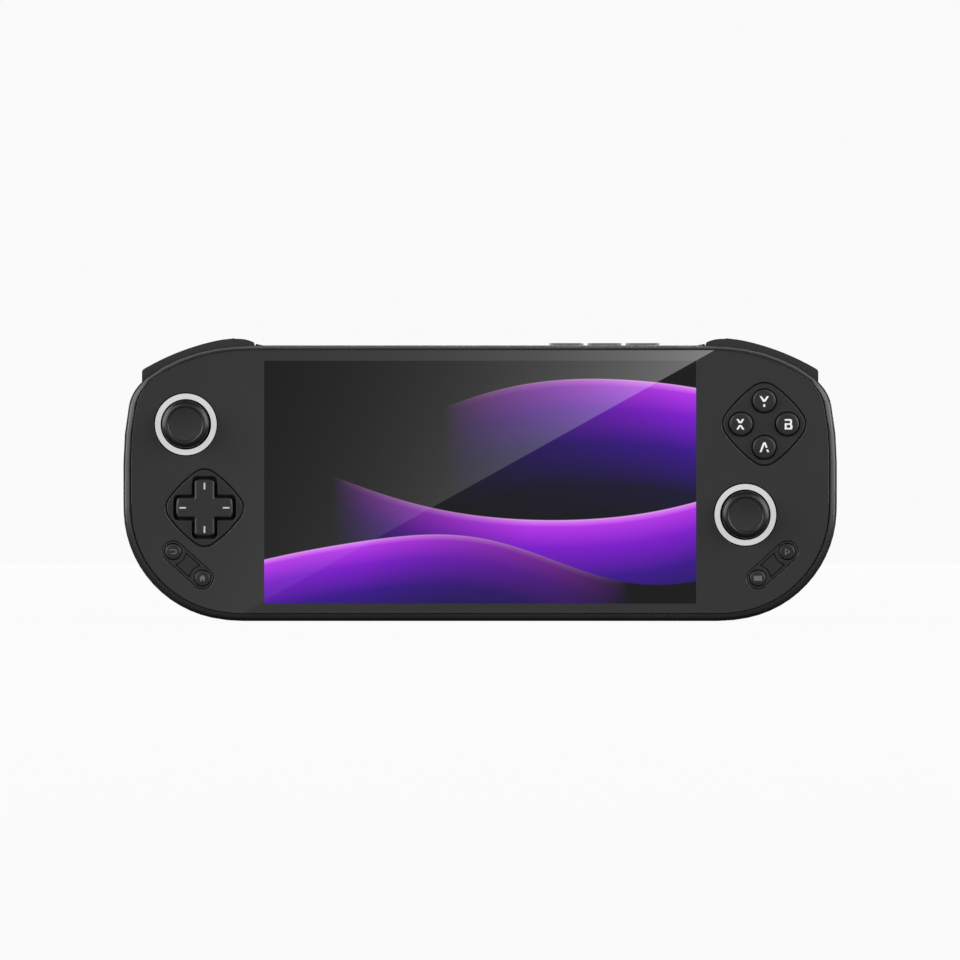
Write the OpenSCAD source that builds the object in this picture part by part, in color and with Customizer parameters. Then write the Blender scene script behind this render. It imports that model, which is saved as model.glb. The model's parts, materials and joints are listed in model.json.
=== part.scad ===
// Handheld game console: a flat body with a wide screen between two control areas.
// It stands on its bottom edge, screen towards -Y, top edge towards +Z.

/* [Body] */
// Width of the body over its two ends
body_w = 201.4; // [196:0.2:215]
// Height of the body from its bottom edge to its top edge
body_h = 77.8; // [76:0.2:86]
// Thickness of the body from its back face to its front rim
body_t = 16; // [16:0.1:19]
// Thickness of the body's side walls
wall = 2; // [1.6:0.1:2.4]
// Radius that rounds the rim around the front panel
rim_r = 1.1; // [0.8:0.1:1.6]
// Radius that rounds the edge of the back
back_r = 4; // [2.5:0.1:4.2]
// Height of the split between rear cover and frame, from the back face
seam = 5.5; // [5:0.1:6]
// Thickness of the back wall
floor_t = 1.5; // [1.2:0.1:1.8]

/* [Front panel and display] */
// Thickness of the front panel
panel_t = 1.1; // [0.9:0.1:1.4]
// Depth of the panel's face below the rim
panel_drop = 0.2; // [0.1:0.05:0.4]
// Mean width of the rim above and below the panel
panel_inset = 1.75; // [1.6:0.05:1.9]
// Width of the rim at each end of the panel
panel_side = 2.3; // [2.1:0.05:2.6]
// How far the panel sits above the body's centre line
panel_rise = 0.45; // [0.3:0.05:0.5]
// Width of a control area, from the body's end to the picture
side_area = 39.8; // [39:0.1:46]
// Border of the body above and below the picture
screen_border = 4.65; // [4.4:0.05:8]
// How far the picture sits above the body's centre line
screen_rise = 0.3; // [0:0.05:0.4]
// Dark edge of the display outside the picture
screen_edge = 1.1; // [0.6:0.1:1.2]
// Thickness of the display
display_t = 1.9; // [1.5:0.1:2.2]
// Thickness of the frame's web behind the display
web_t = 1.2; // [1:0.1:1.5]

/* [Thumb sticks] */
// Distance of the left stick from the body's left end
stick_l_edge = 17.7; // [17:0.1:20]
// Height of the left stick, as a share of the body's height
stick_l_rise = 0.7134; // [0.7:0.0002:0.72]
// Distance of the right stick from the body's right end
stick_r_edge = 25.9; // [25:0.1:27]
// Height of the right stick, as a share of the body's height
stick_r_rise = 0.3856; // [0.38:0.0002:0.39]
// Radius of a stick's cap
stick_r = 6.85; // [6.4:0.05:7]
// Outer radius of the light ring around a stick
ring_r = 8.75; // [8.6:0.05:9]
// Inner radius of the light ring
ring_bore = 7.05; // [7:0.05:7.3]
// Depth of a stick's pivot below the front rim
pivot_depth = 5.7; // [5.6:0.1:5.9]
// Radius of a stick's shaft
shaft_r = 1; // [0.8:0.05:1.1]

/* [Direction pad] */
// Distance of the direction pad from the body's left end
dpad_edge = 23; // [22.5:0.1:24]
// Height of the direction pad, as a share of the body's height
dpad_rise = 0.4095; // [0.4:0.0005:0.415]
// Half the span of the cross
dpad_span = 8.1; // [7.6:0.1:8.3]
// Half the width of an arm of the cross
dpad_arm = 2.95; // [2.6:0.05:3.1]
// Half the distance between opposite sides of the pad's bezel
dpad_bezel_side = 9.45; // [9.2:0.05:9.8]
// Corner radius of the pad's bezel
dpad_bezel_r = 5.95; // [5:0.05:6.4]

/* [Face buttons] */
// Distance of the button group from the body's right end
face_edge = 20.6; // [20:0.1:22]
// Height of the button group, as a share of the body's height
face_rise = 0.7134; // [0.7:0.0002:0.72]
// Distance of each button from the middle of the group
face_pitch = 6.55; // [6.2:0.05:6.7]
// Radius of a face button
face_r = 3.25; // [2.9:0.05:3.3]
// Half the distance between opposite sides of the buttons' bezel
face_bezel_side = 10.15; // [9.9:0.05:10.5]
// Corner radius of the buttons' bezel
face_bezel_r = 6.4; // [5.5:0.05:6.8]
// How far a face button can be pressed
face_travel = 1; // [0.6:0.1:1.2]

/* [Function keys] */
// Distance of the outer key of a pair from the body's end
key_out_edge = 14.1; // [14:0.1:15]
// Height of the outer key, as a share of the body's height
key_out_rise = 0.2519; // [0.248:0.0001:0.256]
// Distance of the inner key of a pair from the body's end
key_in_edge = 22.4; // [22:0.1:24]
// Height of the inner key, as a share of the body's height
key_in_rise = 0.1555; // [0.152:0.0001:0.159]
// Radius of a function key
key_r = 2.15; // [1.9:0.05:2.3]
// Radius of the round ends of the keys' bezel
key_bezel_r = 3.05; // [2.8:0.05:3.2]

/* [Top keys] */
// Length of a key on the top edge
top_key_l = 9.6; // [8:0.1:10]
// Thickness of a key on the top edge
top_key_t = 2.6; // [2:0.1:3]
// Distance from one top key to the next
top_key_pitch = 10.75; // [10.6:0.05:12]
// Distance of the first top key from the body's right end
top_key_edge = 76.3; // [74:0.1:80]
// How far a top key stands out of the top edge
top_key_out = 0.7; // [0.5:0.1:1]

/* [Shoulders] */
// Distance of a shoulder button's inner end from the body's end
shoulder_in = 36.9; // [36.5:0.1:37.4]
// Distance of a shoulder button's outer end from the body's end
shoulder_out = 5.2; // [5.2:0.1:6.5]
// How far a front shoulder button stands out of the body's edge
bumper_out = 2.25; // [1.8:0.05:2.6]
// How far a rear trigger stands out of the body's edge
trigger_out = 1.7; // [1.2:0.05:1.8]
// Radius of the steel hinge pins
pin_r = 0.75; // [0.6:0.05:0.85]

/* [Inside] */
// Thickness of the circuit boards
board_t = 1; // [0.8:0.1:1.2]
// Distance of the battery's ends from the control brackets
battery_end = 12.3; // [10:0.1:20]
// Height of the battery
battery_h = 52; // [40:1:54]
// Thickness of the battery
battery_t = 4.7; // [4:0.1:5]
// Width of a speaker
speaker_w = 16; // [14:0.5:17]
// Distance of each speaker's middle from its control bracket
speaker_end = 16.3; // [16:0.1:17]

/* [Hidden] */
$fn = 48;

// Gaps between pieces: sliding, seated and running
gap = 0.3;
seat_gap = 0.12;
run_gap = 0.05;
eps = 0.01;

// Corner arcs of the body's outline, from the flat edge to the end: radius and sweep in degrees
top_arcs = [[54, 34], [12, 45], [85, 11]];
low_arcs = [[42, 12], [31.5, 76], [90, 2]];
arc_step = 6;

// Levels through the thickness, measured from the back face
z_face = body_t - panel_drop;
z_panel = z_face - panel_t;
z_web = z_panel - display_t;
z_web_back = z_web - web_t;
button_stroke = 2.2;
membrane_t = 0.5;
flange_t = 0.65;
z_flange = z_web - run_gap;
z_board = z_flange - flange_t - button_stroke;
z_main = z_board - 1.2;
z_pivot = body_t - pivot_depth;
ledge = 2.9;
ledge_t = 1.5;
bezel_top = z_face + 0.05;

// Half sizes and places along the width
half_w = body_w / 2;
screen_w = body_w - 2 * side_area;
screen_h = body_h - 2 * screen_border;
display_half = screen_w / 2 + screen_edge;
bracket_in = display_half + 0.3;
web_half = bracket_in + 2.8;
screen_y = body_h / 2 + screen_rise;

// Places of the controls, the left ones on the negative side
left_stick = [stick_l_edge - half_w, stick_l_rise * body_h];
right_stick = [half_w - stick_r_edge, stick_r_rise * body_h];
dpad = [dpad_edge - half_w, dpad_rise * body_h];
face = [half_w - face_edge, face_rise * body_h];
key_out = [half_w - key_out_edge, key_out_rise * body_h];
key_in = [half_w - key_in_edge, key_in_rise * body_h];

// Stick parts, as heights above the pivot
gimbal_bore = shaft_r + 1.6;
gimbal_r = gimbal_bore + 0.9;
gimbal_h = 0.8;
hub_r = shaft_r + 1;
hub_pin_r = 0.5;
gimbal_pin_r = 0.6;
housing_in = gimbal_r + 0.4;
housing_out = housing_in + 0.7;
housing_floor = -3.8;
flange_half = housing_out + 1.1;
dome_r = ring_bore + 0.85;
dome_t = 0.9;
dome_low = 2.75;
cap_low = z_face - z_pivot + 2.9;
cap_h = 1.9;
shaft_low = -1;

// Direction pad levels
dpad_flange_top = z_web - 0.85;
dpad_flange_t = 0.6;
z_dpad = dpad_flange_top - dpad_flange_t;
fulcrum_r = 1.3;
fulcrum_pin_r = 0.45;
lug_in = fulcrum_r + 0.3;
lug_out = lug_in + 1;
lug_half = 0.9;
dpad_top = z_face + 1.5;
dpad_clear = 0.6;
dpad_lip = 1.3;

// Shoulder frame: a line near the top corner that the trigger turns about
shoulder_tilt = 17;
shoulder_mid = [half_w - 21.2, body_h - 4.8];
z_trigger = 5.4;
trigger_low = 0.45;
trigger_top = 6.9;
paddle_top = trigger_low + 1.75;
paddle_reach = 9.6;
block_reach = 2.4;
crown_reach = 6.6;
notch_low = -paddle_reach - 1.6;
plate_low = trigger_top + 0.2;
plate_t = 0.5;
bumper_low = plate_low + plate_t + 0.2;
bumper_top = z_web - gap;
bumper_depth = 4.2;
bumper_pivot = [half_w - 38.8, body_h - 5.2];
bumper_hub_r = 1.9;
ramp_l = 2.3;
ramp_h = 0.45;
bumper_hub_top = z_web_back - 0.2;
edge_r = 69;
edge_x = 40.7;
edge_lift = 0.64;
crown_r = 13;
crown_x = 31.34;
ear_x = 10;
ear_t = 0.6;
ear_r = 1.6;
spring_pocket_x = 6.6;

// Screws and their posts
screw_r = 0.95;
screw_head_r = 1.9;
screw_head_t = 1.1;
screw_sink = 0.5;
post_r = 2.2;
boss_r = 2.9;
boss_top = 2.9;
small_screw_r = 0.6;
small_head_r = 1.2;
small_post_r = 1.5;
post_in = bracket_in - 4.8;
frame_posts = [[post_in, 8.5], [post_in, body_h - 9.8]];
bracket_post = [half_w - 7.7, 0.5334 * body_h];
board_posts = [
  [half_w - 30.2, 0.5977 * body_h],
  [half_w - 8.2, 0.4306 * body_h],
  [half_w - 31.2, 0.2314 * body_h]
];
plate_post_x = 9;
plate_post_y = -5.4;
plate_posts = [[-plate_post_x, plate_post_y], [plate_post_x, plate_post_y]];

// Boards and ports
battery_l = 2 * (bracket_in - battery_end);
speaker_x = bracket_in - speaker_end;
main_half = speaker_x - speaker_w / 2 - 2;
main_low = wall + 0.6;
main_high = body_h - 19.8;
main_edge = 3;
main_posts = [
  [main_half - main_edge, main_low + main_edge],
  [main_half - main_edge, main_high - main_edge]
];
usb_w = 8.94;
usb_h = 3.2;
usb_l = 7.4;
usb_sink = 0.25;
usb_wall = 0.3;
z_usb = z_main + usb_h / 2;
speaker_depth = 10;
speaker_t = 5;
vent_pitch = 3;
vent_w = 1.3;
vent_l = 4;
chip = 16;
spreader = [44, 32, 1];
top_key_x = half_w - top_key_edge;
top_key_z = (z_web_back + seam) / 2 + 1;
top_key_flange_t = 0.7;
top_key_travel = 0.4;

// The body's outline: points along the corner arcs, moved inwards by d
function heading(arcs, i) = i == 0 ? 0 : heading(arcs, i - 1) + arcs[i - 1][1];
function compass(a) = [sin(a), cos(a)];
function centre(arcs, i) =
  i == 0 ? [0, -arcs[0][0]]
  : centre(arcs, i - 1) + (arcs[i - 1][0] - arcs[i][0]) * compass(heading(arcs, i));
function reach(arcs) = centre(arcs, len(arcs) - 1)[0] + arcs[len(arcs) - 1][0];
function corner(arcs, d) = [
  for (i = [0 : len(arcs) - 1])
    let (n = max(1, ceil(arcs[i][1] / arc_step)))
      for (k = [(i == 0 ? 0 : 1) : n])
        centre(arcs, i) + (arcs[i][0] - d) * compass(heading(arcs, i) + arcs[i][1] * k / n)
];
function backwards(list) = [for (i = [len(list) - 1 : -1 : 0]) list[i]];
function right_side(d) = concat(
  [for (p = corner(top_arcs, d)) [half_w - reach(top_arcs) + p[0], body_h + p[1]]],
  backwards([for (p = corner(low_arcs, d)) [half_w - reach(low_arcs) + p[0], -p[1]]])
);
function outline(d) = concat(
  right_side(d),
  backwards([for (p = right_side(d)) [-p[0], p[1]]])
);

// Turns the face-up drawing upright, with the middle of the bottom edge at the origin
module upright() {
  rotate([90, 0, 0])
    translate([0, 0, -body_t / 2])
      children();
}

// A plate of the body's outline, moved inwards by d, between two levels
module slab(d, low, high) {
  translate([0, 0, low])
    linear_extrude(high - low)
      polygon(outline(d));
}

// A flat outline between two levels
module plate(low, high) {
  translate([0, 0, low])
    linear_extrude(high - low)
      children();
}

module rod(p, r, low, high) {
  translate([p[0], p[1], low])
    cylinder(r = r, h = high - low);
}

module block(low, high) {
  translate(low)
    cube(high - low);
}

// A bar with round ends from one point to another
function round_end(p, r, start) = [
  for (k = [0 : 24])
    p + r * [cos(start + 7.5 * k), sin(start + 7.5 * k)]
];

module pill(a, b, r) {
  aim = atan2(b[1] - a[1], b[0] - a[0]);
  polygon(concat(round_end(b, r, aim - 90), round_end(a, r, aim + 90)));
}

// A square that stands on its corner, with round corners
module diamond(side, r) {
  rotate(45) {
    square([2 * side, 2 * (side - r)], center = true);
    square([2 * (side - r), 2 * side], center = true);
    for (x = [-1, 1])
      for (y = [-1, 1])
        translate([x, y] * (side - r))
          circle(r);
  }
}

module cross(span, arm) {
  square([2 * span, 2 * arm], center = true);
  square([2 * arm, 2 * span], center = true);
}

module at(p) {
  translate([p[0], p[1], 0])
    children();
}

// Repeats a drawing of the right side on the left
module both_sides() {
  children();
  mirror([1, 0, 0])
    children();
}

// A coil of wire along z, swept with six sides
module coil(r, wire, turns, low, high) {
  rings = 10 * turns;
  sides = 6;
  rise = (high - low - 2 * wire) / rings;
  points = [
    for (i = [0 : rings])
      for (k = [0 : sides - 1])
        let (t = 36 * i, a = 60 * k)
          [
            (r + wire * cos(a)) * cos(t),
            (r + wire * cos(a)) * sin(t),
            low + wire + rise * i + wire * sin(a)
          ]
  ];
  tube = [
    for (i = [0 : rings - 1])
      for (k = [0 : sides - 1])
        let (a = i * sides + k, b = i * sides + (k + 1) % sides)
          each [[a, a + sides, b], [b, a + sides, b + sides]]
  ];
  first = [for (k = [1 : sides - 2]) [0, k, k + 1]];
  last = [for (k = [1 : sides - 2]) [rings * sides, rings * sides + k + 1, rings * sides + k]];
  polyhedron(points, concat(tube, first, last));
}

// Case

module rounded_front(low) {
  hull() {
    slab(0, low, body_t - rim_r);
    for (a = [22.5 : 22.5 : 90])
      slab(rim_r * (1 - cos(a)), body_t - rim_r, body_t - rim_r * (1 - sin(a)));
  }
}

module rounded_back(high) {
  hull() {
    slab(0, back_r, high);
    for (a = [18 : 18 : 90])
      slab(back_r * (1 - cos(a)), back_r * (1 - sin(a)), back_r);
  }
}

module control_holes(side, extra) {
  if (side < 0) {
    at(left_stick)
      circle(ring_r + extra);
    at(dpad)
      diamond(dpad_bezel_side + extra, dpad_bezel_r + extra);
  } else {
    at(right_stick)
      circle(ring_r + extra);
    at(face)
      diamond(face_bezel_side + extra, face_bezel_r + extra);
  }
  pill([side * key_out[0], key_out[1]], [side * key_in[0], key_in[1]], key_bezel_r + extra);
}

// The panel's outline, grown outwards; its ends lie a little further in than the body's
module panel_area(grow) {
  translate([0, panel_rise])
    scale([(half_w - panel_side + grow) / (half_w - panel_inset + grow), 1])
      polygon(outline(panel_inset - grow));
}

module front_panel() {
  color([0.05, 0.05, 0.055])
    upright()
      plate(z_panel, z_face)
        difference() {
          panel_area(0);
          control_holes(-1, gap);
          control_holes(1, gap);
        }
}

module display() {
  color([0.25, 0.1, 0.45])
    upright()
      translate([0, screen_y, z_web + display_t / 2])
        cube([2 * display_half, screen_h + 2 * screen_edge, display_t], center = true);
}

module shoulder_window(low, high, grow) {
  block(
    [half_w - shoulder_in - grow, body_h / 2 + 12, low],
    [half_w - shoulder_out + grow, body_h + 9, high]
  );
}

module usb_slot() {
  translate([0, wall / 2, z_usb])
    rotate([90, 0, 0])
      linear_extrude(2 * wall + 2, center = true)
        pill(
          [-(usb_w - usb_h) / 2, 0],
          [(usb_w - usb_h) / 2, 0],
          usb_h / 2 + seat_gap
        );
}

module speaker_vents() {
  for (i = [-2 : 2])
    translate([speaker_x + i * vent_pitch, wall / 2, z_web_back - speaker_t / 2])
      rotate([90, 0, 0])
        linear_extrude(2 * wall, center = true)
          pill([0, -(vent_l - vent_w) / 2], [0, (vent_l - vent_w) / 2], vent_w / 2);
}

module top_key_bar(i, grow) {
  translate([top_key_x + i * top_key_pitch, 0, top_key_z])
    rotate([-90, 0, 0])
      linear_extrude(body_h + 4)
        pill(
          [-(top_key_l - top_key_t) / 2, 0],
          [(top_key_l - top_key_t) / 2, 0],
          top_key_t / 2 + grow
        );
}

module web() {
  difference() {
    intersection() {
      slab(wall - eps, z_web_back, z_web);
      block([-web_half, -1, 0], [web_half, body_h + 1, body_t]);
    }
    both_sides()
      block([bracket_in, body_h - 9.8, 0], [half_w, body_h + 1, body_t]);
    block([-usb_w / 2 - 2, -1, 0], [usb_w / 2 + 2, usb_l + 2, body_t]);
  }
}

// A small ramp on the top edge that leads up to a front shoulder button
module shoulder_ramp() {
  high_end = half_w - shoulder_in - gap - 0.1;
  plate(seam, z_web)
    polygon([
      [high_end - ramp_l, body_h - wall / 2],
      [high_end - ramp_l, body_h],
      [high_end, body_h + ramp_h],
      [high_end, body_h - wall / 2]
    ]);
}

module mid_frame() {
  color([0.12, 0.12, 0.125])
    upright()
      difference() {
        union() {
          difference() {
            rounded_front(seam);
            slab(wall, seam - 1, z_panel - ledge_t);
            slab(ledge, z_panel - ledge_t - 1, z_panel + 1);
            plate(z_panel, body_t + 1)
              panel_area(gap);
            both_sides()
              shoulder_window(seam - 1, z_web + 0.1, gap + 0.1);
            usb_slot();
            both_sides()
              speaker_vents();
            for (i = [0 : 2])
              intersection() {
                top_key_bar(i, 0.15);
                block([0, body_h / 2, 0], [half_w, body_h + 9, body_t]);
              }
          }
          web();
          both_sides() {
            shoulder_ramp();
            for (p = frame_posts)
              rod(p, post_r, boss_top, z_web_back + eps);
            for (p = main_posts)
              rod(p, small_post_r, z_main, z_web_back + eps);
          }
        }
        both_sides() {
          for (p = frame_posts)
            rod(p, screw_r + run_gap, boss_top - 1, z_web_back - 1);
          for (p = main_posts)
            rod(p, small_screw_r + run_gap, z_main - 1, z_web_back - 0.2);
          rod(bumper_pivot, pin_r + run_gap / 2, z_web_back - 1, z_web + 1);
        }
      }
}

module rear_cover() {
  all_posts = concat(frame_posts, [bracket_post]);
  color([0.1, 0.1, 0.105])
    upright()
      difference() {
        union() {
          difference() {
            rounded_back(seam);
            slab(wall, floor_t, seam + 1);
          }
          both_sides()
            for (p = all_posts)
              rod(p, boss_r, floor_t - eps, boss_top);
        }
        both_sides() {
          for (p = all_posts) {
            rod(p, screw_r + run_gap, -1, boss_top + 1);
            rod(p, screw_head_r + 0.15, -1, screw_sink + screw_head_t);
          }
          intersection() {
            shoulder_window(-1, seam + 1, gap);
            shoulder_frame()
              block([-40, notch_low, -1], [40, 40, seam + 1]);
          }
        }
      }
}

module rear_screws() {
  color([0.35, 0.35, 0.37])
    upright()
      both_sides()
        for (p = concat(frame_posts, [bracket_post]))
          difference() {
            union() {
              rod(p, screw_head_r, screw_sink, screw_sink + screw_head_t);
              rod(p, screw_r, screw_sink, 8);
            }
            translate([p[0], p[1], screw_sink - eps])
              cylinder(r = 0.9, h = 0.7, $fn = 6);
          }
}

// Control areas

module bracket_plate(side) {
  plate(z_web, z_panel)
    difference() {
      intersection() {
        polygon(outline(ledge + seat_gap));
        translate([side < 0 ? -half_w : bracket_in, 0])
          square([half_w - bracket_in, body_h]);
      }
      children();
    }
}

module bracket_posts() {
  difference() {
    union() {
      for (p = board_posts)
        rod(p, small_post_r, z_board, z_web + eps);
      shoulder_frame()
        for (p = plate_posts)
          rod(p, small_post_r, plate_low + plate_t, z_web + eps);
      rod(bracket_post, post_r, boss_top, z_web + eps);
    }
    for (p = board_posts)
      rod(p, small_screw_r + run_gap, z_board - 1, z_web - 0.4);
    shoulder_frame()
      for (p = plate_posts)
        rod(p, small_screw_r + run_gap, plate_low, z_web - 0.4);
    rod(bracket_post, screw_r + run_gap, boss_top - 1, z_web_back);
  }
}

module key_holes(side, r) {
  for (p = [key_out, key_in])
    translate([side * p[0], p[1]])
      circle(r);
}

module left_bracket() {
  color([0.14, 0.14, 0.14])
    upright() {
      bracket_plate(-1) {
        at(left_stick)
          circle(ring_r - 0.55);
        at(dpad)
          cross(dpad_span + dpad_clear + gap, dpad_arm + dpad_clear + gap);
        key_holes(-1, key_r + 0.25);
      }
      mirror([1, 0, 0])
        bracket_posts();
    }
}

module right_bracket() {
  color([0.14, 0.14, 0.14])
    upright() {
      bracket_plate(1) {
        at(right_stick)
          circle(ring_r - 0.55);
        for (a = [0 : 90 : 270])
          at(face + face_pitch * compass(a))
            circle(face_r + 0.3);
        key_holes(1, key_r + 0.25);
      }
      bracket_posts();
    }
}

module light_ring(p) {
  color([0.93, 0.93, 0.93])
    upright()
      at(p)
        difference() {
          cylinder(r = ring_r, h = bezel_top);
          translate([0, 0, -1])
            cylinder(r = ring_r + 1, h = z_panel + 1);
          cylinder(r = ring_bore, h = body_t + 1);
        }
}

module left_ring() {
  light_ring(left_stick);
}

module right_ring() {
  light_ring(right_stick);
}

module dpad_bezel() {
  color([0.11, 0.11, 0.11])
    upright()
      plate(z_panel, bezel_top)
        at(dpad)
          difference() {
            diamond(dpad_bezel_side, dpad_bezel_r);
            cross(dpad_span + dpad_clear, dpad_arm + dpad_clear);
          }
}

module dpad_cap() {
  color([0.13, 0.13, 0.13])
    upright()
      at(dpad)
        difference() {
          union() {
            plate(z_dpad, dpad_top - 0.4)
              cross(dpad_span, dpad_arm);
            plate(dpad_top - 0.4 - eps, dpad_top)
              cross(dpad_span - 0.35, dpad_arm - 0.35);
            plate(z_dpad, dpad_flange_top)
              cross(dpad_span + dpad_lip, dpad_arm + dpad_lip);
          }
          difference() {
            rod([0, 0], lug_out + 0.4, z_dpad - 1, z_dpad + 1.4);
            rotate(90)
              pivot_lugs(z_dpad - lug_half, z_dpad + 2);
          }
        }
}

// Two lugs with bores for a pair of the fulcrum's pins, on the first axis
module pivot_lugs(low, high) {
  difference() {
    for (x = [-1, 1])
      translate([x * (lug_in + lug_out) / 2, 0, (low + high) / 2])
        cube([lug_out - lug_in, 2 * lug_half, high - low], center = true);
    translate([0, 0, z_dpad])
      rotate([0, 90, 0])
        cylinder(r = fulcrum_pin_r + run_gap, h = 4 * lug_out, center = true);
  }
}

module dpad_fulcrum() {
  color([0.8, 0.8, 0.78])
    upright()
      at(dpad)
        translate([0, 0, z_dpad]) {
          sphere(fulcrum_r);
          rotate([90, 0, 0])
            cylinder(r = fulcrum_pin_r, h = 2 * lug_out - 0.2, center = true);
          rotate([0, 90, 0])
            cylinder(r = fulcrum_pin_r, h = 2 * lug_out - 0.2, center = true);
        }
}

module rubber_dome(p, r, high) {
  translate([p[0], p[1], z_board])
    cylinder(r1 = r, r2 = 0.65 * r, h = high - z_board);
}

module dpad_membrane() {
  color([0.3, 0.3, 0.32])
    upright()
      difference() {
        union() {
          rod(dpad, dpad_span + 1.4, z_board, z_board + membrane_t);
          for (a = [0 : 90 : 270])
            rubber_dome(dpad + 6.3 * compass(a), 1.9, z_dpad);
        }
        rod(dpad, 3.7, z_board - 1, z_board + membrane_t + 1);
      }
}

module key_bezel(side) {
  out = [side * key_out[0], key_out[1]];
  in = [side * key_in[0], key_in[1]];
  color([0.11, 0.11, 0.11])
    upright()
      difference() {
        union() {
          plate(z_panel, bezel_top)
            pill(out, in, key_bezel_r);
          plate(bezel_top - eps, bezel_top + 0.12)
            difference() {
              pill(out, in, key_bezel_r - 0.95);
              for (p = [out, in])
                translate(p)
                  circle(key_r + 1.35);
            }
        }
        for (p = [out, in])
          rod(p, key_r + 0.15, z_panel - 1, body_t + 1);
      }
}

module left_key_bezel() {
  key_bezel(-1);
}

module right_key_bezel() {
  key_bezel(1);
}

// A round button: a cap with a rounded edge and a flange that keeps it in
module round_button(p, r, top, lip, edge) {
  upright()
    at(p)
      rotate_extrude()
        polygon([
          [0, z_flange - flange_t],
          [r + lip, z_flange - flange_t],
          [r + lip, z_flange],
          [r, z_flange],
          [r, top - edge],
          [r - 0.3 * edge, top - 0.3 * edge],
          [r - edge, top],
          [0, top]
        ]);
}

module function_key(p, side) {
  color([0.13, 0.13, 0.13])
    round_button([side * p[0], p[1]], key_r, z_face + 0.35, 0.6, 0.25);
}

module back_key() {
  function_key(key_out, -1);
}

module home_key() {
  function_key(key_in, -1);
}

module menu_key() {
  function_key(key_in, 1);
}

module start_key() {
  function_key(key_out, 1);
}

module key_membrane(side) {
  out = [side * key_out[0], key_out[1]];
  in = [side * key_in[0], key_in[1]];
  color([0.3, 0.3, 0.32])
    upright() {
      plate(z_board, z_board + membrane_t)
        pill(out, in, key_bezel_r);
      rubber_dome(out, 1.9, z_flange - flange_t);
      rubber_dome(in, 1.9, z_flange - flange_t);
    }
}

module left_key_membrane() {
  key_membrane(-1);
}

module right_key_membrane() {
  key_membrane(1);
}

module face_bezel() {
  color([0.11, 0.11, 0.11])
    upright()
      plate(z_panel, bezel_top)
        at(face)
          difference() {
            diamond(face_bezel_side, face_bezel_r);
            for (a = [0 : 90 : 270])
              at(face_pitch * compass(a))
                circle(face_r + 0.2);
          }
}

// A face button, placed by its compass direction from the middle of the group
module face_button(a) {
  color([0.13, 0.13, 0.13])
    round_button(face + face_pitch * compass(a), face_r, z_face + 1.4, 0.75, 0.5);
}

module button_north() {
  face_button(0);
}

module button_east() {
  face_button(90);
}

module button_south() {
  face_button(180);
}

module button_west() {
  face_button(270);
}

module face_membrane() {
  color([0.3, 0.3, 0.32])
    upright() {
      plate(z_board, z_board + membrane_t)
        at(face)
          diamond(face_bezel_side - 2.2, face_bezel_r - 2.2);
      for (a = [0 : 90 : 270])
        rubber_dome(face + face_pitch * compass(a), 2.6, z_flange - flange_t);
    }
}

// A control board, with a window for the stick's housing
module control_board(side, stick) {
  color([0.05, 0.25, 0.15])
    upright()
      difference() {
        plate(z_board - board_t, z_board)
          intersection() {
            polygon(outline(bumper_depth + 2.4));
            translate([side < 0 ? -half_w : web_half + 0.5, 6])
              square([half_w - web_half - 0.5, body_h - 18.7]);
          }
        translate([stick[0], stick[1], z_board])
          cube([2 * housing_out + 0.4, 2 * housing_out + 0.4, 2 * board_t + 1], center = true);
        rod([side * bracket_post[0], bracket_post[1]], post_r + gap, 0, body_t);
        for (p = board_posts)
          rod([side * p[0], p[1]], small_screw_r + run_gap, 0, body_t);
        mirror([side < 0 ? 1 : 0, 0, 0])
          shoulder_frame()
            for (p = plate_posts)
              rod(p, small_post_r + gap, 0, body_t);
      }
}

module left_board() {
  color([0.05, 0.25, 0.15])
    upright()
      at(dpad)
        pivot_lugs(z_board - eps, z_dpad + lug_half);
  control_board(-1, left_stick);
}

module right_board() {
  control_board(1, right_stick);
}

module board_screw(p, head_low, head_high, tip) {
  rod(p, small_head_r, head_low, head_high);
  rod(p, small_screw_r, head_low, tip);
}

module board_screws() {
  head = 0.8;
  color([0.6, 0.6, 0.62])
    upright()
      both_sides() {
        for (p = board_posts)
          board_screw(p, z_board - board_t - head, z_board - board_t, z_web - 0.6);
        for (p = main_posts)
          board_screw(p, z_main - board_t - head, z_main - board_t, z_web_back - 0.4);
        shoulder_frame()
          for (p = plate_posts)
            board_screw(p, plate_low - head, plate_low, z_web - 0.6);
      }
}

// Thumb sticks

module at_pivot(p) {
  upright()
    translate([p[0], p[1], z_pivot])
      children();
}

module stick_cap(p) {
  rim = cap_low + cap_h;
  color([0.07, 0.07, 0.07])
    at_pivot(p)
      difference() {
        union() {
          rotate_extrude()
            polygon([
              [0, cap_low - 0.2],
              [stick_r - 1.25, cap_low],
              [stick_r - 0.4, cap_low + 0.4],
              [stick_r, cap_low + 0.9],
              [stick_r, rim - 0.6],
              [stick_r - 0.3, rim - 0.15],
              [stick_r - 0.8, rim],
              [stick_r - 1.3, rim - 0.05],
              [stick_r - 2.2, rim - 0.4],
              [0, rim - 0.6]
            ]);
          cylinder(r = 3.2, h = cap_low);
          intersection() {
            sphere(dome_r);
            translate([0, 0, dome_low])
              cylinder(r = dome_r + 1, h = cap_low - dome_low);
          }
        }
        difference() {
          sphere(dome_r - dome_t);
          translate([0, 0, 4.8])
            cylinder(r = shaft_r + 1.2, h = dome_r);
        }
        cylinder(r = 3.2 + eps, h = 4.8);
        cylinder(r = shaft_r + run_gap / 2, h = cap_low - 0.4);
      }
}

module stick_shaft(p) {
  color([0.75, 0.75, 0.77])
    at_pivot(p)
      translate([0, 0, shaft_low])
        cylinder(r = shaft_r, h = cap_low - 0.5 - shaft_low);
}

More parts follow.
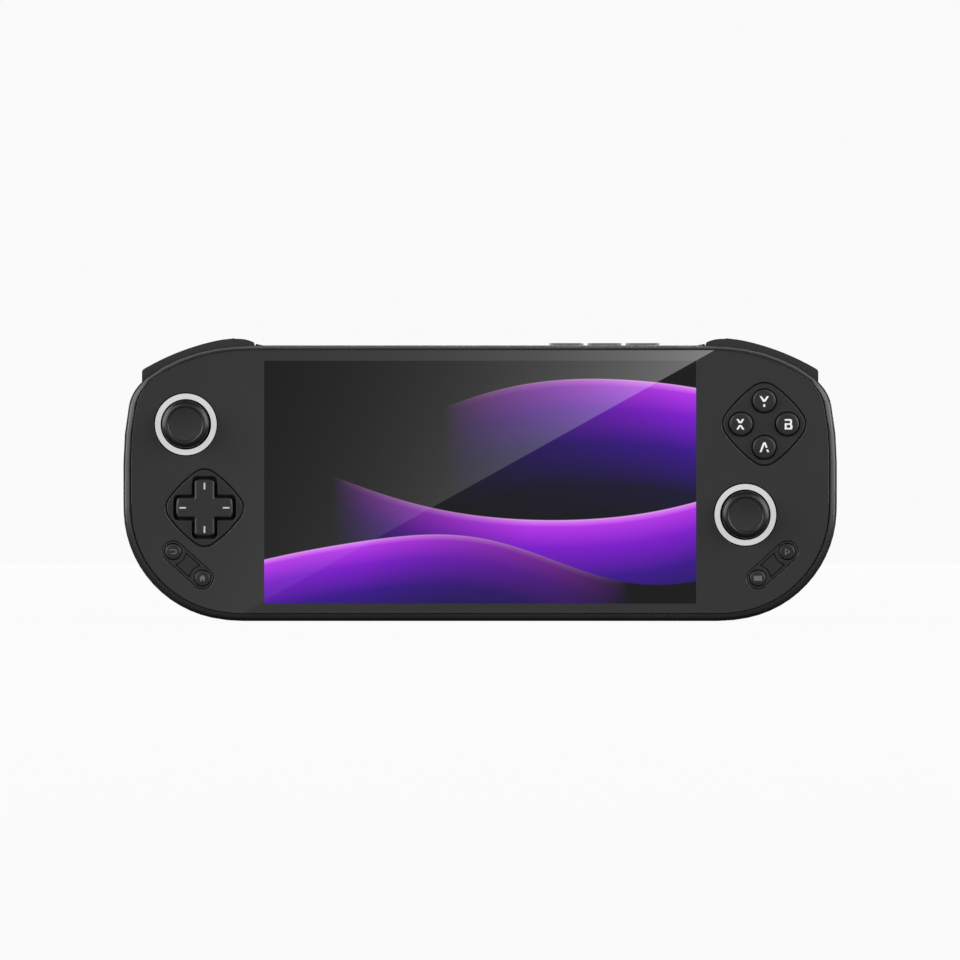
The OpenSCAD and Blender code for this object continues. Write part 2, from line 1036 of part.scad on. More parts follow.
module stick_hub(p) {
  color([0.85, 0.85, 0.82])
    at_pivot(p)
      difference() {
        union() {
          cylinder(r = hub_r, h = 2 * gimbal_h, center = true);
          rotate([90, 0, 0])
            cylinder(r = hub_pin_r, h = 2 * gimbal_r - 0.4, center = true);
        }
        cylinder(r = shaft_r + run_gap, h = 4 * gimbal_h, center = true);
      }
}

module stick_gimbal(p) {
  color([0.2, 0.2, 0.22])
    at_pivot(p)
      difference() {
        union() {
          cylinder(r = gimbal_r, h = 2 * gimbal_h, center = true);
          rotate([0, 90, 0])
            cylinder(r = gimbal_pin_r, h = 2 * housing_out - 0.2, center = true);
        }
        cylinder(r = gimbal_bore, h = 4 * gimbal_h, center = true);
        rotate([90, 0, 0])
          cylinder(r = hub_pin_r + run_gap, h = 4 * gimbal_r, center = true);
      }
}

module stick_housing(p) {
  color([0.55, 0.55, 0.57])
    at_pivot(p)
      difference() {
        union() {
          block([-housing_out, -housing_out, housing_floor - 0.8], [housing_out, housing_out, 1]);
          block(
            [-flange_half, -flange_half, z_board - board_t - 1 - z_pivot],
            [flange_half, flange_half, z_board - board_t - z_pivot]
          );
        }
        difference() {
          block([-housing_in, -housing_in, housing_floor], [housing_in, housing_in, 2]);
          translate([0, 0, housing_floor - eps])
            cylinder(r = 0.9, h = 2);
        }
        rotate([0, 90, 0])
          cylinder(r = gimbal_pin_r + run_gap, h = 4 * housing_out, center = true);
      }
}

module stick_spring(p) {
  color([0.7, 0.7, 0.72])
    at_pivot(p)
      coil(shaft_r + 0.45, 0.17, 4, housing_floor + 0.02, -gimbal_h - 0.02);
}

module left_stick_cap() {
  stick_cap(left_stick);
}

module left_stick_shaft() {
  stick_shaft(left_stick);
}

module left_stick_hub() {
  stick_hub(left_stick);
}

module left_stick_gimbal() {
  stick_gimbal(left_stick);
}

module left_stick_housing() {
  stick_housing(left_stick);
}

module left_stick_spring() {
  stick_spring(left_stick);
}

module right_stick_cap() {
  stick_cap(right_stick);
}

module right_stick_shaft() {
  stick_shaft(right_stick);
}

module right_stick_hub() {
  stick_hub(right_stick);
}

module right_stick_gimbal() {
  stick_gimbal(right_stick);
}

module right_stick_housing() {
  stick_housing(right_stick);
}

module right_stick_spring() {
  stick_spring(right_stick);
}

// Shoulders, drawn for the right side

// Middle of the long arc along a shoulder's edge, and the way from there to its crown
function edge_mid(out) = [half_w - edge_x, body_h + out + edge_lift - edge_r];
crown_shift = [edge_x - crown_x, sqrt(pow(edge_r - crown_r, 2) - pow(edge_x - crown_x, 2))];

module shoulder_frame() {
  translate([shoulder_mid[0], shoulder_mid[1], 0])
    rotate(-shoulder_tilt)
      children();
}

module on_side(side) {
  upright()
    mirror([side < 0 ? 1 : 0, 0, 0])
      children();
}

// The long arc of a shoulder's edge, rounded down at its inner end
module shoulder_edge(out) {
  crown = edge_mid(out) + crown_shift;
  intersection() {
    translate(edge_mid(out))
      circle(edge_r, $fn = 360);
    union() {
      translate(crown)
        circle(crown_r, $fn = 96);
      translate([crown[0], 0])
        square([shoulder_in, body_h + 9]);
      square([half_w, body_h - 2]);
    }
  }
}

// The body's top corner, moved outwards and cut off at both ends of the shoulder
module shoulder_area(out, height) {
  intersection() {
    polygon(outline(-out - 1));
    shoulder_edge(out);
    translate([half_w - shoulder_in, body_h - height])
      square([shoulder_in - shoulder_out, height + 9]);
  }
}

module bumper(side) {
  inner = half_w - shoulder_in;
  color([0.1, 0.1, 0.1])
    on_side(side)
      difference() {
        union() {
          plate(bumper_low, bumper_top)
            difference() {
              shoulder_area(bumper_out, 13.5);
              polygon(outline(bumper_depth));
            }
          rod(bumper_pivot, bumper_hub_r, bumper_low, bumper_hub_top);
          block(
            [bumper_pivot[0], bumper_pivot[1] - bumper_hub_r, bumper_low],
            [inner + 1.5, bumper_pivot[1] + bumper_hub_r, bumper_hub_top]
          );
        }
        rod(bumper_pivot, pin_r + run_gap, 0, body_t);
      }
}

module left_bumper() {
  bumper(-1);
}

module right_bumper() {
  bumper(1);
}

// Side view of a trigger across its hinge line: a thick top with a paddle that runs down the back
module trigger_profile() {
  polygon([
    [-block_reach, trigger_top - 0.7],
    [-block_reach, paddle_top + 0.7],
    [-block_reach - 1.6, paddle_top + 0.2],
    [-paddle_reach, paddle_top],
    [-paddle_reach - 0.3, paddle_top - 0.8],
    [-paddle_reach, trigger_low],
    [crown_reach - 4.4, trigger_low],
    [crown_reach - 2.4, trigger_low + 0.85],
    [crown_reach - 1, trigger_low + 2.55],
    [crown_reach, trigger_top],
    [0, trigger_top - 0.1]
  ]);
}

module along_hinge(length) {
  rotate([90, 0, 90])
    linear_extrude(length, center = true)
      children();
}

module trigger(side) {
  color([0.09, 0.09, 0.09])
    on_side(side)
      difference() {
        intersection() {
          plate(trigger_low - 1, trigger_top + 1)
            shoulder_area(trigger_out, body_h / 2);
          shoulder_frame()
            along_hinge(60)
              trigger_profile();
        }
        shoulder_frame()
          translate([0, 0, z_trigger]) {
            rotate([0, 90, 0])
              cylinder(r = pin_r + run_gap, h = 2 * ear_x + 4, center = true);
            for (x = [-1, 1])
              translate([x * (spring_pocket_x + ear_x + ear_t + 0.3) / 2, 0, 0]) {
                rotate([0, 90, 0])
                  cylinder(
                    r = ear_r + 0.5,
                    h = ear_x + ear_t + 0.3 - spring_pocket_x,
                    center = true
                  );
                translate([0, 0, 2])
                  cube(
                    [ear_x + ear_t + 0.3 - spring_pocket_x, 2 * ear_r + 1.4, 4],
                    center = true
                  );
              }
          }
      }
}

module left_trigger() {
  trigger(-1);
}

module right_trigger() {
  trigger(1);
}

// Sheet metal between bumper and trigger, with an ear at each end of the hinge pin
module trigger_bracket(side) {
  color([0.6, 0.6, 0.62])
    on_side(side)
      difference() {
        union() {
          intersection() {
            plate(plate_low, plate_low + plate_t)
              polygon(outline(1.2));
            shoulder_frame()
              block([-ear_x - ear_t, plate_post_y - 2, 0], [ear_x + ear_t, ear_r, body_t]);
          }
          shoulder_frame()
            for (x = [-ear_x - ear_t, ear_x]) {
              translate([x, 0, z_trigger])
                rotate([0, 90, 0])
                  cylinder(r = ear_r, h = ear_t);
              block([x, -ear_r, z_trigger], [x + ear_t, 0.6, plate_low + plate_t]);
            }
        }
        shoulder_frame() {
          translate([0, 0, z_trigger])
            rotate([0, 90, 0])
              cylinder(r = pin_r + run_gap / 2, h = 4 * ear_x, center = true);
          for (p = plate_posts)
            rod(p, small_screw_r + run_gap, 0, body_t);
        }
      }
}

module left_trigger_bracket() {
  trigger_bracket(-1);
}

module right_trigger_bracket() {
  trigger_bracket(1);
}

module trigger_spring(side) {
  wire = 0.2;
  color([0.7, 0.7, 0.72])
    on_side(side)
      shoulder_frame()
        translate([0, 0, z_trigger])
          rotate([0, 90, 0])
            coil(pin_r + wire + 0.1, wire, 5, spring_pocket_x + 0.05, ear_x - 0.05);
}

module left_trigger_spring() {
  trigger_spring(-1);
}

module right_trigger_spring() {
  trigger_spring(1);
}

module shoulder_pins() {
  color([0.75, 0.75, 0.77])
    upright()
      both_sides() {
        rod(bumper_pivot, pin_r, bumper_low - 0.7, z_web - 0.2);
        rod(bumper_pivot, pin_r + 0.6, bumper_low - 0.7, bumper_low - 0.1);
        shoulder_frame()
          translate([0, 0, z_trigger])
            rotate([0, 90, 0])
              cylinder(r = pin_r, h = 2 * (ear_x + ear_t), center = true);
      }
}

// Top keys

module top_key(i) {
  low = body_h - wall - 0.2 - top_key_flange_t;
  x = top_key_x + i * top_key_pitch;
  color([0.3, 0.3, 0.31])
    upright() {
      intersection() {
        top_key_bar(i, 0);
        block([0, low + eps, 0], [half_w, body_h + top_key_out, body_t]);
      }
      block(
        [x - top_key_l / 2 - 0.25, low, top_key_z - top_key_t / 2 - 0.5],
        [x + top_key_l / 2 + 0.25, low + top_key_flange_t, top_key_z + top_key_t / 2 + 0.5]
      );
    }
}

module power_key() {
  top_key(0);
}

module volume_up_key() {
  top_key(1);
}

module volume_down_key() {
  top_key(2);
}

module top_key_board() {
  switch_top = body_h - wall - 0.3 - top_key_flange_t - top_key_travel;
  board_top = switch_top - 0.7;
  color([0.05, 0.25, 0.15])
    upright() {
      block(
        [top_key_x - top_key_l / 2, board_top - board_t, seam + 2],
        [top_key_x + 2 * top_key_pitch + top_key_l / 2, board_top, z_web_back]
      );
      for (i = [0 : 2])
        block(
          [top_key_x + i * top_key_pitch - 1.5, board_top - eps, top_key_z - 1],
          [top_key_x + i * top_key_pitch + 1.5, switch_top, top_key_z + 1]
        );
    }
}

// Inside

module main_board() {
  color([0.05, 0.25, 0.15])
    upright() {
      difference() {
        block([-main_half, main_low, z_main - board_t], [main_half, main_high, z_main]);
        both_sides()
          for (p = main_posts)
            rod(p, small_screw_r + run_gap, 0, body_t);
      }
      block(
        [-chip / 2, body_h / 2 - chip / 2, z_main - eps],
        [chip / 2, body_h / 2 + chip / 2, z_web_back - spreader[2]]
      );
    }
}

module usb_port() {
  span = (usb_w - usb_h) / 2;
  color([0.7, 0.7, 0.72])
    upright()
      translate([0, usb_sink, z_usb])
        rotate([-90, 0, 0]) {
          difference() {
            linear_extrude(usb_l)
              pill([-span, 0], [span, 0], usb_h / 2);
            translate([0, 0, -1])
              linear_extrude(usb_l + 0.5)
                pill([-span, 0], [span, 0], usb_h / 2 - usb_wall);
          }
          translate([0, 0, 0.8 + (usb_l - 0.8) / 2])
            cube([6.4, 0.7, usb_l - 0.8], center = true);
        }
}

module heat_spreader() {
  color([0.72, 0.45, 0.2])
    upright()
      translate([0, body_h / 2, z_web_back - spreader[2] / 2])
        cube(spreader, center = true);
}

module battery() {
  color([0.2, 0.2, 0.22])
    upright()
      translate([0, body_h / 2 + 1, floor_t + battery_t / 2])
        cube([battery_l, battery_h, battery_t], center = true);
}

module speakers() {
  color([0.08, 0.08, 0.08])
    upright()
      both_sides()
        block(
          [speaker_x - speaker_w / 2, wall, z_web_back - speaker_t],
          [speaker_x + speaker_w / 2, wall + speaker_depth, z_web_back]
        );
}

front_panel();
display();
mid_frame();
rear_cover();
rear_screws();
left_bracket();
left_ring();
dpad_bezel();
dpad_cap();
dpad_fulcrum();
dpad_membrane();
left_key_bezel();
back_key();
home_key();
left_key_membrane();
left_board();
right_bracket();
right_ring();
face_bezel();
button_south();
button_east();
button_west();
button_north();
face_membrane();
right_key_bezel();
menu_key();
start_key();
right_key_membrane();
right_board();
left_stick_cap();
left_stick_shaft();
left_stick_hub();
left_stick_gimbal();
left_stick_housing();
left_stick_spring();
right_stick_cap();
right_stick_shaft();
right_stick_hub();
right_stick_gimbal();
right_stick_housing();
right_stick_spring();
left_bumper();
left_trigger();
left_trigger_bracket();
left_trigger_spring();
right_bumper();
right_trigger();
right_trigger_bracket();
right_trigger_spring();
shoulder_pins();
power_key();
volume_up_key();
volume_down_key();
top_key_board();
main_board();
usb_port();
heat_spreader();
battery();
speakers();
board_screws();
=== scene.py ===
import json
import math

import bmesh
import bpy
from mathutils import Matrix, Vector
from mathutils.geometry import tessellate_polygon


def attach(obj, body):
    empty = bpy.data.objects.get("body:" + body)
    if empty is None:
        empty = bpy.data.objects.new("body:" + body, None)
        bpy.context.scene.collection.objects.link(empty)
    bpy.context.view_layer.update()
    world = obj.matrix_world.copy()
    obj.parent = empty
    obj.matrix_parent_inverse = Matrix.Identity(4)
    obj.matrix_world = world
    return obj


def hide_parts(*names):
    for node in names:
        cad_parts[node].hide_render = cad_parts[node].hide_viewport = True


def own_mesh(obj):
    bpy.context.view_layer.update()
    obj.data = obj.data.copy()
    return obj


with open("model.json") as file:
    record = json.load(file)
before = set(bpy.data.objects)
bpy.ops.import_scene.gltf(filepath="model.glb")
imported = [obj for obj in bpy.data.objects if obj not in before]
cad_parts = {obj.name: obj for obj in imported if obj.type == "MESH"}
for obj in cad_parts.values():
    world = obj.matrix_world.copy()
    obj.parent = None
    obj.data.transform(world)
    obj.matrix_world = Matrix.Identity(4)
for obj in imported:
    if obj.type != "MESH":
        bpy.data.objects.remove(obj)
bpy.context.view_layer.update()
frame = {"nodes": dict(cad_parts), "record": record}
NODES = frame["nodes"]

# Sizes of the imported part, in millimetres: x along the width, y up, z from the back to the front.
MM = 0.001
BODY_W, BODY_H, BODY_T = 201.4, 77.8, 16.0
HALF_W = BODY_W / 2
TOP_ARCS = ((54, 34), (12, 45), (85, 11))  # radius and sweep, from the level edge to the side
LOW_ARCS = ((42, 12), (31.5, 76), (90, 2))
PANEL_INSET, PANEL_SIDE, PANEL_RISE = 1.75, 2.3, 0.45
BEZEL_GAP = 0.2

# Levels
BOARD = 9.9  # front of the control boards
PIVOT = 10.3  # the two axes of each stick
KEY_BACK = 12.1  # back of the buttons and function keys
FLANGE = 12.74  # front of the flanges that hold them in
WEB = 12.8  # front of the web behind the display
PANEL = 14.7  # back of the front panel
FACE = 15.8  # front of the front panel
BEZEL = 15.85  # front of the bezels and rings

# Places of the controls and the screen
LEFT_STICK = (-83.0, 0.7134 * BODY_H)
RIGHT_STICK = (74.8, 0.3856 * BODY_H)
DPAD = (-77.7, 0.4095 * BODY_H + 0.12)
BUTTONS = (80.1, 0.7134 * BODY_H + 0.09)
KEY_OUT = (86.6, 0.2519 * BODY_H)
KEY_IN = (78.3, 0.1555 * BODY_H)
LEFT_KEYS = ((-KEY_OUT[0], KEY_OUT[1]), (-KEY_IN[0], KEY_IN[1]))
RIGHT_KEYS = (KEY_OUT, KEY_IN)
SIDES = ("left", "right")
STICKS = (("left", LEFT_STICK), ("right", RIGHT_STICK))
SCREEN_HALF = (60.9, 34.25)
SCREEN_Y = BODY_H / 2 + 0.3
SCREEN = (0, SCREEN_Y)

# The rim: fuller than the CAD at the top corners, rounded further back, and matte behind that
SWELL = 0.5
SWELL_START, SWELL_RUN = 61, 22  # along the width
SWELL_STOP, SWELL_FADE = 95.6, 3.5
SWELL_FOOT, SWELL_RISE = 55, 6  # up the height
SWELL_DEPTH, SWELL_BLEND = 6, 2.8  # in from the edge
TOP_R, TOP_X = TOP_ARCS[0][0], 63.87  # the large arc at each top corner
MAX_LEAN = 0.6
RIM_BACK, RIM_REACH = 14.85, 1.2  # what the CAD rounds
RIM_STRETCH, RIM_WIDEN = 2.8, 1.3
MATTE_BELOW = 14.6

# The shoulder buttons, in metres
END_X, END_Z = 0.0952, 0.066
CROWN_Z, CROWN_DROP = 0.0775, 0.0002
CROWN_X, CROWN_REACH = 69.5, 4.5  # in millimetres

HARD_ANGLE = math.radians(32)  # an edge sharper than this can be rounded


def at(x, y, z):
    """A point of the part, in the scene's metres."""
    return Vector((x, BODY_T / 2 - z, y)) * MM


# Outlines. Each is a function of d: how far its edge moves into the material.

def corner(arcs, d, step):
    points, turn = [], 0.0
    centre = Vector((0, -arcs[0][0]))
    for i, (r, sweep) in enumerate(arcs):
        if i:
            a = math.radians(turn)
            centre = centre + (arcs[i - 1][0] - r) * Vector((math.sin(a), math.cos(a)))
        n = max(2, math.ceil(sweep / step))
        for k in range(0 if i == 0 else 1, n + 1):
            a = math.radians(turn + sweep * k / n)
            points.append(centre + (r - d) * Vector((math.sin(a), math.cos(a))))
        turn += sweep
    return points, centre.x + arcs[-1][0]


def body_outline(d, step=2.0):
    top, top_reach = corner(TOP_ARCS, d, step)
    low, low_reach = corner(LOW_ARCS, d, step)
    right = [Vector((HALF_W - top_reach + p.x, BODY_H + p.y)) for p in top]
    right += [Vector((HALF_W - low_reach + p.x, -p.y)) for p in reversed(low)]
    return right + [Vector((-p.x, p.y)) for p in reversed(right)]


OUTLINE = body_outline(0, 1.0)


def smooth(t):
    t = max(0.0, min(1.0, t))
    return t * t * (3 - 2 * t)


def fuller(x, y):
    """How the rim swells a little at the top corners, in front of the shoulder buttons."""
    a = abs(x)
    along = smooth((a - SWELL_START) / SWELL_RUN) * smooth((SWELL_STOP - a) / SWELL_FADE)
    d = SWELL * along * smooth((y - SWELL_FOOT) / SWELL_RISE)
    lean = max(0.0, min(MAX_LEAN, (a - TOP_X) / TOP_R))
    return Vector((x + math.copysign(d * lean, x), y + d * math.sqrt(1 - lean * lean)))


def panel_edge(d):
    k = (HALF_W - PANEL_SIDE - d) / (HALF_W - PANEL_INSET - d)
    return [fuller(k * p.x, p.y + PANEL_RISE) for p in body_outline(PANEL_INSET + d)]


def circle(c, r, n=96, hole=False):
    def loop(d):
        q = r + d if hole else r - d
        turns = [2 * math.pi * k / n for k in range(n)]
        return [Vector((c[0] + q * math.sin(a), c[1] + q * math.cos(a))) for a in turns]
    return loop


def rounded(corners, radii, n=8, hole=False):
    """A polygon with round corners; its points run clockwise."""
    def loop(d):
        shift = -d if hole else d
        count = len(corners)
        points = []
        for i in range(count):
            p, before, after = (Vector(corners[j % count]) for j in (i, i - 1, i + 1))
            e, f = (p - before).normalized(), (after - p).normalized()
            ne, nf = Vector((e.y, -e.x)), Vector((f.y, -f.x))
            p = p + shift * (ne + nf) / (1 + ne.dot(nf))
            turn = e.x * f.y - e.y * f.x
            r = radii[i] if hasattr(radii, "__len__") else radii
            r = max(0.01, r - shift if turn < 0 else r + shift)
            half = math.acos(max(-1, min(1, e.dot(f)))) / 2
            side = 1 if turn < 0 else -1
            start = p - e * r * math.tan(half)
            c = start + side * r * Vector((e.y, -e.x))
            a0 = math.atan2(start.y - c.y, start.x - c.x)
            for k in range(n + 1):
                a = a0 - side * 2 * half * k / n
                points.append(c + r * Vector((math.cos(a), math.sin(a))))
        return points
    return loop


def eased(loop, k):
    """The same outline with its rounding made k times as wide."""
    return lambda d: loop(k * d)


def backed(loop, gap):
    """The same outline, gap further back into its material."""
    return lambda d: loop(d + gap)


def shifted(loop, c):
    """The same outline, moved from the origin to c."""
    return lambda d: [Vector(c) + p for p in loop(d)]


def diamond(c, tip, mid, radii, hole=False):
    """A diamond with round tips and sides that bow out."""
    x, y = c
    corners = []
    for a, b in ((1, 1), (1, -1), (-1, -1), (-1, 1)):
        point = (0, b * tip) if a == b else (a * tip, 0)
        corners += [(x + point[0], y + point[1]), (x + a * mid, y + b * mid)]
    return rounded(corners, radii * 4, 16, hole)


def turned(c, arm, radii, hole=False):
    """One arm of a cross, repeated four times about c."""
    corners = []
    for k in range(4):
        for x, y in arm:
            for _ in range(k):
                x, y = y, -x
            corners.append((c[0] + x, c[1] + y))
    return rounded(corners, radii * 4, 6, hole)


def cross(c, span, half, outer, inner, hole=False):
    arm = [(-half, span), (half, span), (half, half)]
    return turned(c, arm, [outer, outer, inner], hole)


def bowed_cross(c, span, half, bow, outer, inner):
    """A cross whose arms have ends that bow out."""
    flat, soft = 0.45 * half, 4.0
    arm = [(-half, span - bow), (-flat, span), (flat, span), (half, span - bow), (half, half)]
    return turned(c, arm, [outer, soft, soft, outer, inner])


def box_loop(c, half, r, hole=False):
    x, y, w, h = *c, *half
    return rounded([(x - w, y + h), (x + w, y + h), (x + w, y - h), (x - w, y - h)], r, 8, hole)


def pill(a, b, r, hole=False):
    a, b = Vector(a), Vector(b)
    base = math.atan2(b.y - a.y, b.x - a.x)

    def loop(d):
        q = r + d if hole else r - d
        points = []
        for end, start in ((b, base + math.pi / 2), (a, base - math.pi / 2)):
            for k in range(33):
                t = start - math.pi * k / 32
                points.append(end + q * Vector((math.cos(t), math.sin(t))))
        return points
    return loop


def waisted(a, b, half, r):
    """A strip between two round keys, with ends that follow the keys."""
    a, b = Vector(a), Vector(b)
    e = (b - a).normalized()
    n = Vector((e.y, -e.x))

    def loop(d):
        w, q = half - d, r + d
        top = math.asin(w / q)
        turns = [top * (k / 12 - 1) for k in range(25)]
        ends = [a + e * q * math.cos(t) - n * q * math.sin(t) for t in turns]
        ends += [b - e * q * math.cos(t) + n * q * math.sin(t) for t in turns]
        return rounded(ends, [0.3 if k % 25 in (0, 24) else 0.0 for k in range(50)], 3)(0)
    return loop


def ribbon(points, width):
    """An open painted line with square ends."""
    def loop(d):
        left, right = [], []
        for i, p in enumerate(points):
            p = Vector(p)
            ways = []
            if i:
                ways.append((p - Vector(points[i - 1])).normalized())
            if i < len(points) - 1:
                ways.append((Vector(points[i + 1]) - p).normalized())
            sides = [Vector((w.y, -w.x)) for w in ways]
            m = sides[0]
            if len(sides) == 2:
                m = (sides[0] + sides[1]) / (1 + sides[0].dot(sides[1]))
            left.append(p - m * (width / 2 - d))
            right.append(p + m * (width / 2 - d))
        return left + right[::-1]
    return loop


# Mesh pieces

def piece(name, verts, faces, material, body, sharp=38.0):
    mesh = bpy.data.meshes.new(name)
    mesh.from_pydata([tuple(v) for v in verts], [], faces)
    bm = bmesh.new()
    bm.from_mesh(mesh)
    bmesh.ops.remove_doubles(bm, verts=bm.verts, dist=1e-7)
    bmesh.ops.recalc_face_normals(bm, faces=bm.faces)
    bm.to_mesh(mesh)
    bm.free()
    return dress(name, mesh, material, body, sharp)


def dress(name, mesh, material, body, sharp):
    """Puts a mesh in the scene on its body, with even shading and one material."""
    for p in mesh.polygons:
        p.use_smooth = True
    mesh.set_sharp_from_angle(angle=math.radians(sharp))
    mesh.materials.clear()
    mesh.materials.append(material)
    o = bpy.data.objects.new(name, mesh)
    bpy.context.scene.collection.objects.link(o)
    even = o.modifiers.new("even_normals", "WEIGHTED_NORMAL")
    even.keep_sharp = True
    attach(o, body)
    return o


def plate(name, outer, holes, low, high, edge, material, body, steps=4):
    """A flat plate with holes, its front edges rounded by edge."""
    levels = [(0.0, low)]
    for k in range(steps + 1) if edge else [0]:
        a = math.pi / 2 * k / steps
        levels.append((edge * (1 - math.cos(a)), high - edge * (1 - math.sin(a))))
    verts, faces, rings = [], [], []
    for loop in [outer] + list(holes):
        ring = []
        for d, z in levels:
            points = loop(d)
            ring.append((len(verts), len(points)))
            verts += [at(p[0], p[1], z) for p in points]
        rings.append(ring)
        for (a, n), (b, _) in zip(ring, ring[1:]):
            for i in range(n):
                j = (i + 1) % n
                faces.append((a + i, a + j, b + j, b + i))
    for level in (0, -1):
        spans = [range(r[level][0], r[level][0] + r[level][1]) for r in rings]
        index = [i for span in spans for i in span]
        flat = [[Vector((verts[i].x, verts[i].z, 0)) for i in span] for span in spans]
        faces += [tuple(index[i] for i in t) for t in tessellate_polygon(flat)]
    o = piece(name, verts, faces, material, body)
    crisp(o.data)
    return o


def crisp(mesh):
    """Keeps a flat front apart from its rounded edges in the shading."""
    sides = {}
    for p in mesh.polygons:
        for k in p.edge_keys:
            sides.setdefault(k, set()).add(p.normal.y < -0.9999)
    for e in mesh.edges:
        if len(sides[tuple(sorted(e.vertices))]) == 2:
            e.use_edge_sharp = True


def lathe(name, c, profile, material, body, n=96, sharp=38.0):
    """A piece turned about the depth axis through c, from (radius, level) points."""
    verts, faces, rows = [], [], []
    for r, z in profile:
        if r < 1e-6:
            rows.append([len(verts)])
            verts.append(at(c[0], c[1], z))
        else:
            rows.append(range(len(verts), len(verts) + n))
            turns = [2 * math.pi * k / n for k in range(n)]
            verts += [at(c[0] + r * math.cos(a), c[1] + r * math.sin(a), z) for a in turns]
    for a, b in zip(rows, rows[1:]):
        for k in range(n):
            j = (k + 1) % n
            if len(a) == 1 and len(b) > 1:
                faces.append((a[0], b[k], b[j]))
            elif len(b) == 1 and len(a) > 1:
                faces.append((a[k], a[j], b[0]))
            elif len(a) > 1:
                faces.append((a[k], a[j], b[j], b[k]))
    return piece(name, verts, faces, material, body, sharp)


def coil(name, c, r, wire, turns, low, high, material, body):
    """A spring about the depth axis through c."""
    sides, steps = 8, 24
    verts, faces = [], []
    count = turns * steps
    for k in range(count + 1):
        a = 2 * math.pi * k / steps
        level = low + wire + (high - low - 2 * wire) * k / count
        for i in range(sides):
            b = 2 * math.pi * i / sides
            q, z = r + wire * math.cos(b), level + wire * math.sin(b)
            verts.append(at(c[0] + q * math.cos(a), c[1] + q * math.sin(a), z))
    for k in range(0, count * sides, sides):
        for i in range(sides):
            j = (i + 1) % sides
            faces.append((k + i, k + j, k + sides + j, k + sides + i))
    faces += [tuple(range(sides)), tuple(count * sides + i for i in reversed(range(sides)))]
    return piece(name, verts, faces, material, body)


def bend(points, r, n=5):
    """Rounds the inner points of a profile."""
    out = [Vector(points[0])]
    for a, p, b in zip(points, points[1:], points[2:]):
        a, p, b = Vector(a), Vector(p), Vector(b)
        q = min(r, 0.45 * (p - a).length, 0.45 * (b - p).length)
        u, v = p + (a - p).normalized() * q, p + (b - p).normalized() * q
        for k in range(n + 1):
            t = k / n
            out.append((1 - t) ** 2 * u + 2 * t * (1 - t) * p + t * t * v)
    return out + [Vector(points[-1])]


def nearest(p):
    """The point of the body's outline that is nearest to p."""
    best = None
    for a, b in zip(OUTLINE, OUTLINE[1:] + OUTLINE[:1]):
        t = max(0.0, min(1.0, (p - a).dot(b - a) / max(1e-9, (b - a).length_squared)))
        q = a + t * (b - a)
        if best is None or (p - q).length_squared < (p - best).length_squared:
            best = q
    return best


def shape_rim(v):
    """Fuller corners and a longer rounding at the front of the case."""
    x, y, z = v.x * 1000, v.z * 1000, BODY_T / 2 - v.y * 1000
    if z < WEB - 0.01:
        return v
    inset = TOP_R - math.hypot(abs(x) - TOP_X, y - BODY_H + TOP_R)
    full = (fuller(x, y) - Vector((x, y))) * smooth((SWELL_DEPTH - inset) / SWELL_BLEND)
    if z > RIM_BACK:
        edge = nearest(Vector((x, y)))
        if (Vector((x, y)) - edge).length < RIM_REACH:
            x, y = edge + RIM_WIDEN * (Vector((x, y)) - edge)
            z = BODY_T - RIM_STRETCH * (BODY_T - z)
    return at(x + full.x, y + full.y, z)


def round_crown(v):
    """Softens the turn where a shoulder button starts to drop towards the middle."""
    if v.z < CROWN_Z:
        return v
    near = smooth(1 - abs(abs(v.x) * 1000 - CROWN_X) / CROWN_REACH)
    return v - Vector((0, 0, CROWN_DROP * near))


def is_hard(e):
    """An edge where two faces meet at a clear angle."""
    return len(e.link_faces) == 2 and e.calc_face_angle(0) > HARD_ANGLE


def is_end(e):
    """An edge along the depth at the outer end of a shoulder button."""
    a, b = (v.co for v in e.verts)
    far = min(abs(a.x), abs(b.x)) > END_X and min(a.z, b.z) > END_Z
    return far and abs((b - a).normalized().y) > 0.98


def bevel(bm, edges, offset, segments):
    bmesh.ops.bevel(
        bm, geom=edges, offset=offset * MM, segments=segments, profile=0.5,
        affect="EDGES", clamp_overlap=True,
    )


def skin(node, material, body, edge=0.0, segments=2, shape=None, ends=0.0):
    """A copy of a CAD node, reshaped or with its sharp edges rounded; it stands for the node."""
    mesh = NODES[node].data.copy()
    bm = bmesh.new()
    bm.from_mesh(mesh)
    bmesh.ops.remove_doubles(bm, verts=bm.verts, dist=2e-6)
    if shape:
        for v in bm.verts:
            v.co = shape(v.co)
    if edge or not shape:
        flat = math.radians(0.6)
        bmesh.ops.dissolve_limit(bm, angle_limit=flat, verts=bm.verts, edges=bm.edges)
    if ends:
        bevel(bm, [e for e in bm.edges if is_hard(e) and is_end(e)], ends, 4)
    if edge:
        bevel(bm, [e for e in bm.edges if is_hard(e)], edge, segments)
    bmesh.ops.recalc_face_normals(bm, faces=bm.faces)
    bm.to_mesh(mesh)
    bm.free()
    if "custom_normal" in mesh.attributes:
        mesh.attributes.remove(mesh.attributes["custom_normal"])
    o = dress(node + "_skin", mesh, material, body, 30.0)
    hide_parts(node)
    return o


# Materials

